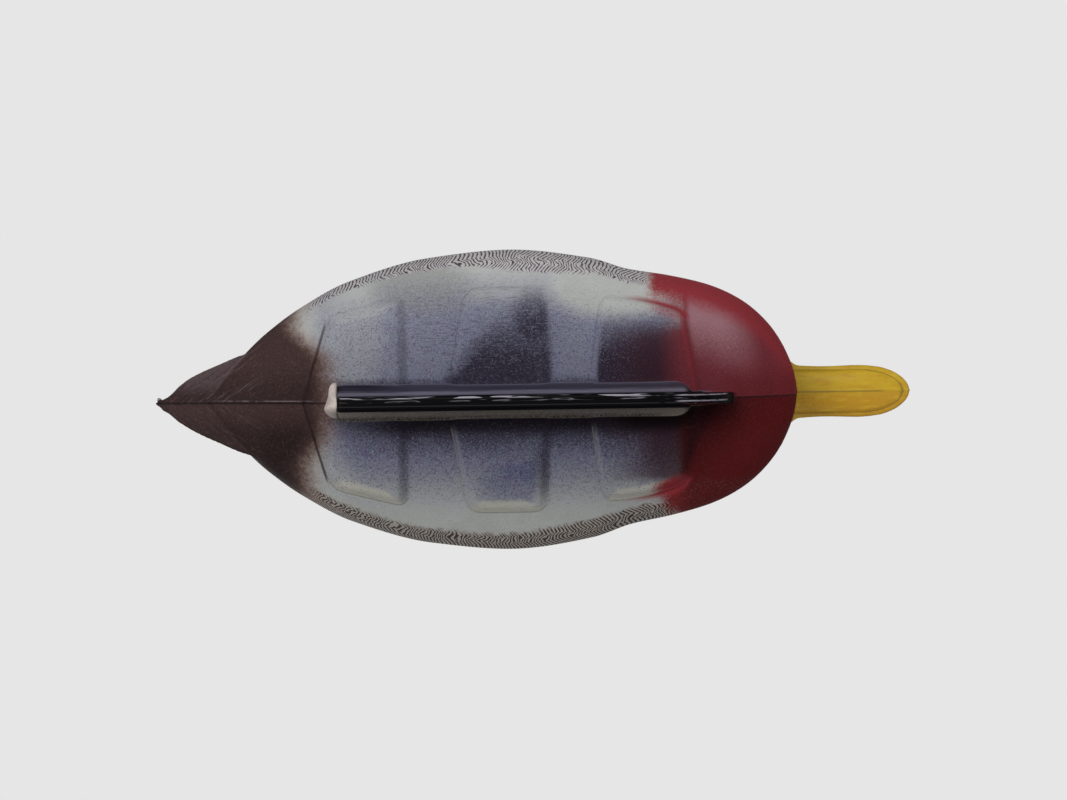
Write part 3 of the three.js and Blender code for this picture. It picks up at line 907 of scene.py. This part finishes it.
def violet(s):
    """Dark violet beside the keel, and over the middle and front pads of the right half, with a painted
    shadow of the keel on the left half.
    """
    soft_out = s.out + s.drift * 8 + s.ragged * 3
    slant = s.x - (s.out - 12) * 0.85 + s.ragged * 7 + s.drift * 10
    pad_end = s.front.ramp(2, -1) * s.x.ramp(19, 16) * s.x.ramp(16, -4, 0.72, 1).most(s.out.ramp(30, 38))
    middle_pad = slant.ramp(-55, -38) * pad_end * soft_out.ramp(60, 20, 0, 0.92)
    blotch = s.cloud((0, -46), (13, 17), 0.45) * pad_end
    front_pad = s.rear.ramp(0.5, -4) * s.x.ramp(31, 35) * soft_out.ramp(51, 21, 0, 0.94)
    beside_keel = (s.out + s.ragged * 3).ramp(14, 9.5, 0, 0.7)
    right = (middle_pad + blotch).most(front_pad).most(beside_keel)
    left = soft_out.ramp(33, 15, 0, 0.8) * s.x.ramp(-106, -62, 0.15, 1)
    middle_end = s.x.ramp(-6, 5) * s.front.ramp(0.5, -1.5) * s.x.ramp(16, 13)
    left = left.most(middle_end * soft_out.ramp(54, 34, 0, 0.45))
    left = left.most(s.x.ramp(48, 66) * soft_out.ramp(54, 14, 0, 0.85))
    keel_length = s.x.ramp(-116, -104) * s.x.ramp(88, 78)
    s.coat(VIOLET, sprayed(s, (right * s.right + left * s.left) * keel_length, 0.22))
    # A painted shadow of the keel along its left side.
    shade = (s.out + s.ragged * 2).ramp(19.5, 13) * s.left * s.x.ramp(-108, -66)
    s.coat(VIOLET_DEEP, shade * 0.75)


def grain(s):
    """Fine dark and pale specks over all the sprayed bottom."""
    everywhere = s.flank.ramp(-7, -14) * s.x.ramp(-118, -104) * s.x.ramp(88, 66)
    s.coat(DUSK, everywhere * s.spatter.ramp(0.02, 0.8) * s.out.ramp(57, 44, 0.2, 0.58))
    s.coat(HAZE_LIGHT, everywhere * s.spatter.ramp(0.02, -0.9) * s.out.ramp(12, 26, 0.12, 0.4))


def pad_edges(s):
    """Front walls darkened, partly with dark paint and partly with painted shade, a faint painted
    highlight on the rear walls, and a painted shade line in the crease round the outside.
    """
    # Front walls: partly dark paint, partly painted shade.
    front_wall = s.front.ramp(-4.4, -2.2) * s.front.ramp(0.8, -1) * s.rim.ramp(1.2, 0)
    inner = (s.out + s.drift * 8).ramp(57, 47)
    s.coat(DUSK, front_wall * inner * (s.left * 0.2 + 0.26) * s.x.ramp(66, 60))
    # Rear walls: a faint painted highlight.
    rear_wall = s.rear.near(-1.2, 1.8) * s.rim.ramp(1.5, 0) * s.x.ramp(-90, -70) * (s.left * 0.2 + 0.2)
    s.coat(HAZE_LIGHT, rear_wall * s.out.ramp(10, 22) * s.out.ramp(54, 48))
    # Crease round the outside: a painted shade line, with a groove in the relief.
    crease = s.rim.near(0.5, 0.9) * (s.rim - s.front).ramp(0.6, 1.6) * s.out.ramp(12, 16)
    s.coat(WALL_CREAM, s.outer_wall * s.left * 0.4)
    s.coat(CREAM_STAIN_AND_SHADE, crease * s.left * 0.4)
    return crease * -0.4


def scraped(s):
    """Fine scrape marks that run along the right half."""
    wear_and_highlight = s.right * s.cloud((-26, -42), (74, 34), 1)
    s.coat(DUSK, wear_and_highlight * s.streaks.ramp(0.06, 0.2) * 0.4)
    s.coat(HAZE_LIGHT, wear_and_highlight * s.streaks.ramp(-0.08, -0.2) * 0.34)
    return s.streaks * wear_and_highlight * 0.4


BAR_SPACING = 1.9


def barring(s):
    """Wavy dark bars across the flanks in a herringbone, carved a little into the surface."""
    herringbone = 3.4
    bend = s.noise(8, detail=2, seed=7) - 0.5
    rings = s.cells((26, 20, 20), shift=(13.7, 7.9, 3.1))
    zigzag = (s.flank + bend * 5).math("PINGPONG", herringbone)
    phase = s.x + zigzag * 0.9 + rings * 6 + bend * 5
    broken = s.noise((1.3, 2.2, 2.2), detail=1, seed=8) - 0.5
    bars = phase.waves(BAR_SPACING) + broken * 2.6 + s.left * 0.35
    widening = s.right * (s.x.near(0, 45) * 5 - s.x.ramp(-50, -95) * 1.5)
    widening = widening + s.left * (s.x.near(30, 70) * 2.5 + 2)
    edge = s.flank + s.ragged * 5 + 3.2 + widening
    ends = s.x.ramp(-123, -113) * (s.x - s.left * 13 + s.ragged * 3).ramp(62, 59)
    band = edge.ramp(-4, -1.5) * ends * s.flank.ramp(34, 20)
    s.coat(STONE, band * s.right * 0.6)
    s.coat(STONE_BROWN, band * s.left * 0.7)
    s.coat(LINE_BROWN, band * bars.ramp(0.1, 0.7) * 0.9)
    return bars * band * 0.1


def rump(s):
    """Dark brown under the tail, with painted shade on the left and beside the keel, fading out in a warm
    fringe, with a plum fan, fine pale barbs and a painted shade line in the crease at the rear pad's rear
    wall.
    """
    under = s.flank.ramp(4, 1)
    right_bow = s.out.ramp(20, 41, 0, 17)
    left_bow = s.out.ramp(13, 35, 0, 10)
    edge = s.x + s.ragged * 8 + right_bow * s.right + left_bow * s.left - s.out.ramp(16, 5, 0, 1.5)
    s.coat(WARM_BROWN, under * sprayed(s, edge.ramp(-97, -117) * 0.85, 0.3))
    s.coat(RUMP_BROWN, under * sprayed(s, edge.ramp(-104, -120), 0.25))
    # Painted shade beside the keel on the right and over the left half.
    s.coat(RUMP_SHADE, under * edge.ramp(-110, -122) * s.out.ramp(22, 4) * s.right * 0.55)
    left_shade = edge.ramp(-112, -126) * s.out.ramp(2, 20) * s.x.ramp(-158, -136, 0.6, 0.95)
    s.coat(RUMP_SHADE, under * left_shade * s.left)
    fan = s.off_body.ramp(0.3, 1.4) * s.x.ramp(-142, -150) * under
    s.coat(FAN_PLUM, fan * (s.right * 0.6 + 0.03) * s.out.ramp(3, 12))
    lean_back = 0.78
    lean_out = 0.62
    barb_width = 0.55
    barb_length = 11
    along = s.x * lean_back + s.out * lean_out
    across = s.x * lean_out - s.out * lean_back
    barbs = s.noise(1, detail=2, seed=9, place=s.joined(across / barb_width, along / barb_length, 0))
    fringe = s.off_body.near(1.5, 3.5) * s.x.ramp(-140, -150) * under
    pale = (fringe * 0.9 + fan * 0.3).clamp() * barbs.ramp(0.56, 0.76)
    s.coat(BARB_LIGHT, pale * (s.right * 0.4 + 0.4))
    s.coat(CREASE_BROWN, fan * barbs.ramp(0.46, 0.34) * 0.5)
    s.coat(CREASE_BROWN, under * edge.ramp(-108, -120) * s.droplets.ramp(-0.04, -0.3) * 0.6)
    s.coat(WARM_BROWN, under * edge.ramp(-106, -124) * s.droplets.ramp(0.06, 0.34) * 0.4)
    # A painted shade line in the crease at the rear pad's rear wall, with a groove in the relief.
    crease = s.rear.near(0.5, 1.1) * s.rim.ramp(2.5, 1) * s.x.ramp(-100, -104)
    s.coat(CREASE_BROWN, crease * s.out.ramp(50, 38) * (s.left * 0.15 + 0.7))
    return (barbs - 0.5) * fan * 0.5 - crease * 0.4


def breast(s):
    """Burgundy breast, deepest on the left, with a pale band on the right, painted shade on the left in
    front of the front pad and beside the keel, and a painted highlight along the front pad's front edge on
    the right.
    """
    soft_x = s.x + s.ragged * 3 + s.spatter * 2.5
    soft_out = s.out + s.ragged * 4 + s.spatter
    wine_right = soft_x.ramp(28, 64) * soft_out.ramp(46, 30) * 0.85
    wine_left = soft_x.ramp(30, 72) * soft_out.ramp(46, 40) * 0.8
    s.coat(WINE, wine_right * s.right + wine_left * s.left)
    plateau_red = soft_x.ramp(64, 82) * (soft_out.ramp(44, 34).most(s.x.ramp(77, 81)))
    outside = soft_x.ramp(62, 82) * s.rim.ramp(-3, 0) * s.out.ramp(38, 44)
    s.coat(BURGUNDY, sprayed(s, plateau_red.most(outside * 0.7), 0.2) * s.right)
    beyond_pad = (soft_x - s.rim.ramp(2, 22, 0, 11)).ramp(62, 73) * soft_out.ramp(38, 45)
    red_left = soft_x.ramp(74, 81).most(beyond_pad * s.rim.ramp(-8, -4))
    s.coat(DEEP_BURGUNDY, sprayed(s, red_left, 0.2) * s.left)
    corner = red_left * soft_x.ramp(85, 73) * soft_out.ramp(40, 48) * s.rim.ramp(5, 0, 0.3, 1)
    s.coat(CORNER_RED, sprayed(s, corner, 0.2) * s.left)
    # Painted shade on the left half, in front of the front pad's front wall and beside the keel.
    shade = (soft_out + (s.x - 80) * 1.9).ramp(50, 31, 0, 0.7) * soft_x.ramp(72, 82)
    shade = shade.most((s.out + s.x - 80).ramp(62, 18, 0, 0.5) * soft_x.ramp(70, 80))
    beside_keel = s.out.ramp(21, 12, 0, 0.85) * s.x.ramp(34, 56) * s.x.ramp(98, 84)
    s.coat(VIOLET_DEEP, shade.most(beside_keel) * s.left)
    inwards = s.flank + s.ragged * 4 + s.spatter * 1.5
    pale_band = inwards.ramp(-46, -13, 0, 0.62) * s.x.ramp(124, 98) * s.front.ramp(-1.5, 1) * s.x.ramp(60, 74)
    s.coat(PALE_PINK, sprayed(s, pale_band, 0.22) * s.right)
    rim_band = inwards.ramp(-17, -5) * soft_x.ramp(58, 66)
    s.coat(BRIGHT_BURGUNDY, sprayed(s, rim_band.most(soft_x.ramp(122, 134) * 0.5), 0.15) * s.right)
    line = s.rim.near(0.4, 2.3) * (s.rim - s.front).ramp(0.4, 1.5) * s.out.ramp(38, 44)
    s.coat(BRIGHT_BURGUNDY, line * s.x.ramp(44, 68) * 0.9)
    on_wall = s.rim.near(-2.5, 4.5) * s.out.ramp(38, 44) * s.x.ramp(58, 69) * (s.left * 0.4 + 0.55)
    s.coat(BRIGHT_BURGUNDY, sprayed(s, on_wall, 0.2))
    # A painted highlight along the front pad's front edge on the right half.
    lit_ridge = s.front.near(-2.2, 1.3) * s.rim.ramp(1.4, 0.4) * s.x.ramp(72, 78) * s.right
    s.coat(BRIGHT_BURGUNDY, lit_ridge * 0.5)
    s.coat(DEEP_BURGUNDY, s.right * s.out.ramp(22, 4) * s.x.ramp(96, 110) * 0.5)
    s.coat(BURGUNDY, s.flank.ramp(0, 14) * soft_x.ramp(58, 66))


def keel_paint(s):
    """A scuffed keel: black along the bottom, dusty grey on its sides, with painted shade along the root
    of its right side, darker towards the root on its left, and broken painted highlights along the bottom
    and the blade.
    """
    keel = s.off_keel.ramp(1.2, 0.4) * s.z.ramp(31, 29)
    bar = s.x.ramp(KEEL_FRONT, KEEL_FRONT - 3)
    s.coat(KEEL_GREY, keel * s.right)
    s.coat(KEEL_DUST, keel * s.left)
    long_wear = s.noise((22, 2.2, 2.2), detail=3, seed=10) - 0.5
    # Painted shade along the root of the right side, and darker towards the rear.
    root = (s.out + long_wear * 3).ramp(5.2, 6.8, 0.12, 0.85)
    s.coat(VIOLET, keel * s.right * (root + s.x.ramp(-60, -100, 0, 0.2)).clamp())
    # The left side darker towards the root, with specks.
    darker_to_root = (s.z + long_wear * 14).ramp(10, 30, 0.2, 0.8) * s.x.ramp(78, 62, 0.3, 1)
    s.coat(VIOLET_DEEP, keel * s.left * (darker_to_root + s.spatter * 0.7).clamp())
    s.coat(NEAR_BLACK, keel * s.x.ramp(KEEL_FRONT - 4, KEEL_FRONT))
    foot = keel * s.z.ramp(2.4, 1.3)
    s.coat(NEAR_BLACK, foot.most(keel * s.z.near(3.2, 1) * s.right * 0.5))
    # Broken painted highlights along the bottom and the blade's edges, with a gap at the joint.
    highlight_breaks = s.noise((16, 1.4, 1), detail=1, seed=15) - 0.5
    edge = foot * bar * (s.y + 3.0).near(0, 0.9) * highlight_breaks.ramp(0, 0.06)
    middle = foot * bar * (s.y + 0.6 + highlight_breaks * 6).near(0, 0.6) * highlight_breaks.ramp(0.02, 0.1) * 0.4
    low = foot * bar * (s.y - 1.4).near(0, 0.4) * 0.07
    joint = s.x.near(68, 3)
    blade_highlights = (s.y + 2.5).near(0, 0.5).most((s.y - 0.6).near(0, 0.6)) * s.x.ramp(103, 102)
    blade_highlights = keel * blade_highlights * s.x.ramp(74, 78) * highlight_breaks.ramp(-0.2, 0) * 0.75
    s.coat(KEEL_GLINT, edge.most(middle).most(low).most(blade_highlights) * (1 - joint) * 0.85)
    s.coat(CHESTNUT, keel * s.x.ramp(78, 82) * s.x.ramp(100, 96) * (s.y - 2.2).near(0, 0.5) * 0.6)
    return keel, long_wear * keel * 0.4


def feathers(s):
    """The upper side: a grey brown back, wing feathers with pale edges, and a pale tail."""
    top = s.off_body.ramp(-2, 0) * s.flank.ramp(16, 30) * s.x.ramp(-150, -130)
    bend = s.noise(7, detail=1, seed=11) - 0.5
    fine = (s.x + bend * 8).waves(BAR_SPACING) + (s.noise(1.4, seed=12) - 0.5) * 3
    s.coat(BACK_BROWN, top)
    s.coat(BACK_GREY, top * fine.ramp(-0.2, 0.9) * 0.6)
    number = s.mark("feather")
    last = len(WING_FEATHERS)
    on_wing = number.ramp(0.4, 0.6) * number.ramp(last + 0.6, last + 0.4) * s.flank.ramp(4, 8)
    shade = s.mark("feather_along")
    inset = s.mark("feather_inset")
    across = s.mark("feather_across")
    shaft = across.near(0, 0.55)
    s.coat(BACK_BROWN, on_wing)
    s.coat(WING_DARK, on_wing * (number.ramp(2.4, 1.6) * 0.9).most(shade.ramp(0.2, 1) * 0.5))
    scapular = number.ramp(4.4, 4.6)
    s.coat(BACK_GREY, on_wing * scapular * fine.ramp(-0.4, 0.8) * 0.85)
    speculum = number.near(2, 0.5).ramp(0, 0.3) * shade.ramp(0.38, 0.4) * shade.ramp(0.86, 0.84)
    s.coat(COLLAR_WHITE, speculum)
    s.coat(BLACK, speculum * shade.ramp(0.42, 0.44) * shade.ramp(0.81, 0.79))
    s.coat(SPECULUM_BLUE, speculum * shade.ramp(0.46, 0.48) * shade.ramp(0.76, 0.74))
    s.coat(FEATHER_EDGE, on_wing * inset.ramp(1.5, 0.6) * 0.75)
    s.coat(SHAFT_DARK, on_wing * shaft * inset.ramp(0.5, 1.5) * 0.6)
    ridges = (abs(across) * 1.2 + shade * 90 + bend * 4).waves(1.6)
    on_tail = number.ramp(last + 0.4, last + 0.6)
    s.coat(TAIL_PALE, on_tail)
    s.coat(BACK_BROWN, on_tail * inset.ramp(1.2, 2.6) * number.ramp(last + 1, last + 4, 0.35, 0.9))
    behind = (s.x + s.out * 0.4 + s.ragged * 5).ramp(-112, -120)
    s.coat(BLACK, s.flank.ramp(2, 6) * behind * (1 - on_tail) * (1 - on_wing))
    both = (on_wing + on_tail).clamp()
    return ridges * both * 0.1 + shaft * both * 0.35


COLLAR_LOW = 95.2
COLLAR_HIGH = 100.2


def head(s):
    """Bottle green head over a white collar, and a chestnut lower neck."""
    neck = s.x.ramp(54, 62) * s.z.ramp(70, 78)
    collar = s.z - (s.x - 95) * 0.15 + s.ragged * 2
    above_body = s.off_body.ramp(0.5, 3).most(s.z.ramp(118, 119)) * neck
    s.coat(CHESTNUT, s.flank.ramp(14, 28) * (s.x + s.ragged * 5).ramp(80, 88))
    s.coat(CHESTNUT, above_body * 0.9)
    s.coat(COLLAR_WHITE, collar.ramp(COLLAR_LOW, COLLAR_LOW + 0.8) * above_body)
    green = collar.ramp(COLLAR_HIGH, COLLAR_HIGH + 0.8) * above_body
    down = s.noise((1.4, 1.4, 5), detail=2, seed=13)
    s.coat(BOTTLE_GREEN, green)
    s.coat(GREEN_SHEEN, green * down.ramp(0.5, 0.7) * 0.6)
    s.coat(GREEN_SHADE, green * s.z.ramp(150, 172) * 0.6)
    return green, (down - 0.5) * green * 0.4


def bill(s):
    """A yellow bill with darker lines where its halves meet, and a black nail."""
    on_bill = s.mark("off_bill").ramp(2.2, 1.4) * s.mark("off_head").ramp(0.9, 1.3) * s.x.ramp(127, 129)
    stain = s.noise((9, 2.2, 3), detail=3, seed=14)
    s.coat(YELLOW, on_bill)
    left_side = s.y.ramp(-2, 3) * s.z.ramp(128, 126) * 0.9
    s.coat(YELLOW_LOWER, on_bill * (stain.ramp(0.48, 0.7) * 0.6).most(left_side))
    s.coat(YELLOW_LIGHT, on_bill * stain.ramp(0.5, 0.3) * 0.4)
    step = s.mark("bill_step").near(0, 0.8) * s.z.ramp(130, 128)
    middle = s.out.near(0, 0.7) * s.z.ramp(125, 124) * s.x.ramp(188, 184)
    s.coat(OLIVE_LINE, on_bill * step.most(middle) * 0.65)
    nail = on_bill * s.x.ramp(NAIL_X - 5, NAIL_X - 3) * s.z.ramp(129.5, 130.5) * s.out.ramp(5, 4)
    s.coat(BLACK, nail)
    return on_bill


def eyes(s):
    eye = s.mark("off_eye").ramp(0.25, 0.1)
    sight = (s.x - EYE.x) * (s.x - EYE.x) + (s.z - EYE.z) * (s.z - EYE.z)
    s.coat(EYE_BROWN, eye)
    s.coat(BLACK, eye * sight.ramp(9.5, 7.5))
    return eye


def dust(s):
    """Fine pale specks on the dark paint of the rump and the breast."""
    dark_ends = s.x.ramp(-106, -118).most(s.x.ramp(70, 84)) * s.flank.ramp(6, -2)
    s.coat(PALE_PINK, dark_ends * s.spatter.ramp(-0.1, 0.6) * 0.05)


def seam_paint(s):
    """A dark line along the moulding seam, and a painted highlight beside it under the rump."""
    bottom = s.off_keel.ramp(0.4, 1) * s.flank.ramp(1, -1)
    s.coat(NEAR_BLACK, s.out.near(0, 0.8) * bottom * 0.75)
    # A painted highlight beside the seam on its right under the rump.
    wear_and_highlight = (s.y + 1.1).near(0, 0.5) * s.x.ramp(-114, -122) * s.x.ramp(-174, -156)
    s.coat(BARB_LIGHT, wear_and_highlight * s.tint.ramp(-0.12, 0.06) * bottom * 0.7)


def shell_paint():
    s = Surface("painted_shell", CREAM)
    s.out = abs(s.y)
    s.right = s.y.ramp(1, -1)
    s.left = 1 - s.right
    s.rim = s.mark("pad_rim")
    s.front = s.mark("pad_front")
    s.rear = s.mark("pad_rear")
    s.flank = s.mark("flank")
    s.off_keel = s.mark("off_keel")
    s.off_body = s.mark("off_body")
    s.outer_wall = (s.rim.ramp(-7.5, -4.5) * s.rim.ramp(1.0, -0.5)
                    * (s.rim - s.front).ramp(1, 3) * (s.rim - s.rear).ramp(1.5, 4))
    textures(s)
    bare_plastic(s)
    haze(s)
    violet(s)
    crease = pad_edges(s)
    scrapes = scraped(s)
    grain(s)
    bars = barring(s)
    barbs = rump(s)
    breast(s)
    dust(s)
    plumage = feathers(s)
    seam_paint(s)
    keel, wear = keel_paint(s)
    green, down = head(s)
    on_bill = bill(s)
    eye = eyes(s)
    relief = scrapes + bars + plumage + barbs + wear + crease + down + s.grain * 0.12
    gloss = keel * 0.15 + green * 0.7 + eye
    return s.done(0.62 + s.spatter * 0.06 - gloss * 0.3, relief, 1.0, gloss)


# The cream stopper set in the keel's rear end
def plug_mesh():
    """A skittle on its side: fullest left of the middle, with a waist and a lobe on the right."""
    rounds = 48
    levels = 44
    points = []
    for level in range(levels + 1):
        t = (1 - math.cos(math.pi * level / levels)) / 2
        z = PLUG_LOW + (PLUG_HIGH - PLUG_LOW) * t
        swell = math.sin(math.pi * (0.1 + 0.8 * t)) ** 0.5
        closing = math.sqrt(max(0, 1 - (2 * t - 1) ** 6))
        left_half = keel_half_width(z) * (0.86 + 0.14 * swell) * closing
        right_half = left_half + PLUG_RIGHT_LOBE * ramp(6, 20, z) * closing
        for k in range(rounds):
            angle = 2 * math.pi * k / rounds
            u = math.copysign(abs(math.cos(angle)) ** 0.7, math.cos(angle))
            depth = (PLUG_DEPTH + PLUG_SWELL * math.sin(3.3 * u)) * swell * closing
            inward = math.sin(angle)
            back = -depth * inward ** 0.7 if inward > 0 else 0.25 * inward
            points.append((KEEL_REAR - PLUG_GAP + back, u * (left_half if u > 0 else right_half), z))
    faces = []
    for level in range(levels):
        for k in range(rounds):
            a = level * rounds + k
            b = level * rounds + (k + 1) % rounds
            faces.append((a, a + rounds, b + rounds, b))
    faces.append(tuple(range(rounds)))
    faces.append(tuple(reversed(range(levels * rounds, (levels + 1) * rounds))))
    return smooth_mesh("plug_skin", points, faces)


def plug_paint():
    s = Surface("plug_plastic", PLUG_CREAM)
    mottle = s.noise(4, detail=3, seed=1)
    s.coat(PLUG_STAIN, mottle.ramp(0.5, 0.75) * 0.6)
    s.coat(PLUG_LIGHT, s.noise(2, detail=2, seed=2).ramp(0.52, 0.7) * 0.5)
    return s.done(0.42 + mottle * 0.1, mottle, 0.3)


def add_object(name, data):
    made = bpy.data.objects.new(name, data)
    bpy.context.scene.collection.objects.link(made)
    return made


def piece(name, mesh, node, material):
    made = add_object(name, mesh)
    mesh.materials.append(material)
    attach(made, "root")
    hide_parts(node)


def decoy_body():
    points, quads = shell_points()
    mesh = smooth_mesh("decoy_shell_skin", points, quads)
    for name, values in paint_marks(points).items():
        attribute = mesh.attributes.new(name, "FLOAT", "POINT")
        attribute.data.foreach_set("value", values.astype(np.float32))
    piece("decoy_body", mesh, "decoy_shell", shell_paint())


decoy_body()
piece("keel_stopper", plug_mesh(), "keel_plug", plug_paint())


# Studio: a pale floor that shows from above only, a pale room, and soft lights

FLOOR_PAPER = srgb(228, 228, 228)
BACKGROUND = srgb(230, 230, 230)
ROOM_LIGHT = 0.2
FLOOR_DROP = 0.6


def switch(tree, chooser, usual, other, end):
    """Ends a tree in one shader where chooser is 0 and in the other where it is 1."""
    mix = add_node(tree, "ShaderNodeMixShader", {0: chooser, 1: usual.outputs[0], 2: other.outputs[0]})
    tree.links.new(mix.outputs[0], tree.nodes[end].inputs["Surface"])


def floor():
    """Just below the keel's foot, so that the two don't lie in the same plane."""
    reach = 3
    z = -FLOOR_DROP * MM
    mesh = bpy.data.meshes.new("floor")
    corners = [(-reach, -reach, z), (reach, -reach, z), (reach, reach, z), (-reach, reach, z)]
    mesh.from_pydata(corners, [], [(0, 1, 2, 3)])
    made = add_object("floor", mesh)
    material = bpy.data.materials.new("floor_paper")
    material.use_nodes = True
    tree = material.node_tree
    paper = tree.nodes["Principled BSDF"]
    paper.inputs["Base Color"].default_value = FLOOR_PAPER
    paper.inputs["Roughness"].default_value = 0.9
    clear = add_node(tree, "ShaderNodeBsdfTransparent", {})
    side = add_node(tree, "ShaderNodeNewGeometry", {})
    switch(tree, side.outputs["Backfacing"], paper, clear, "Material Output")
    mesh.materials.append(material)
    made.visible_shadow = False


def room():
    world = bpy.data.worlds.new("room")
    world.use_nodes = True
    bpy.context.scene.world = world
    tree = world.node_tree
    light = tree.nodes["Background"]
    light.inputs["Color"].default_value = (1, 1, 1, 1)
    light.inputs["Strength"].default_value = ROOM_LIGHT
    seen = add_node(tree, "ShaderNodeBackground", {"Color": BACKGROUND})
    path = add_node(tree, "ShaderNodeLightPath", {})
    switch(tree, path.outputs["Is Camera Ray"], light, seen, "World Output")


def lamp(name, direction, distance, size, power, glints=True):
    """A square soft light that shines on the middle of the decoy from this direction. Without glints
    it leaves no bright rim on the forms that the camera sees against it."""
    data = bpy.data.lights.new(name, "AREA")
    data.size = size
    data.energy = power
    made = add_object(name, data)
    made.visible_glossy = glints
    middle = Vector((0, 0, 0.07))
    made.location = middle + Vector(direction).normalized() * distance
    made.rotation_euler = (middle - made.location).to_track_quat("-Z", "Y").to_euler()


def lights():
    lamp("key_below", (-0.28, -0.34, -0.9), distance=2.0, size=0.9, power=22)
    lamp("key_above", (0.2, -0.3, 0.93), distance=2.0, size=1.0, power=34, glints=False)
    lamp("fill_above", (-0.5, 0.35, 0.8), distance=2.2, size=1.4, power=10)


# The camera: far below and a little to the decoy's right, with the bill end turned slightly up
FRAME_WIDTH = 565.5
CAMERA_DISTANCE = 16000
CAMERA_LEAN = math.radians(1.5)
CAMERA_ROLL = math.radians(0.85)
AIM = Vector((0, 0.6, 62))


def camera():
    data = bpy.data.cameras.new("camera")
    data.sensor_width = 36
    data.lens = data.sensor_width * CAMERA_DISTANCE / FRAME_WIDTH
    data.clip_end = 100
    made = add_object("camera", data)
    forward = Vector((0, math.sin(CAMERA_LEAN), math.cos(CAMERA_LEAN)))
    level_right = Vector((1, 0, 0))
    level_up = level_right.cross(forward)
    right = level_right * math.cos(CAMERA_ROLL) - level_up * math.sin(CAMERA_ROLL)
    up = level_up * math.cos(CAMERA_ROLL) + level_right * math.sin(CAMERA_ROLL)
    turned = Matrix((right, up, -forward)).transposed().to_4x4()
    turned.translation = (AIM - forward * CAMERA_DISTANCE) * MM
    made.matrix_world = turned
    bpy.context.scene.camera = made


floor()
room()
lights()
camera()
bpy.context.scene.view_settings.view_transform = "Standard"
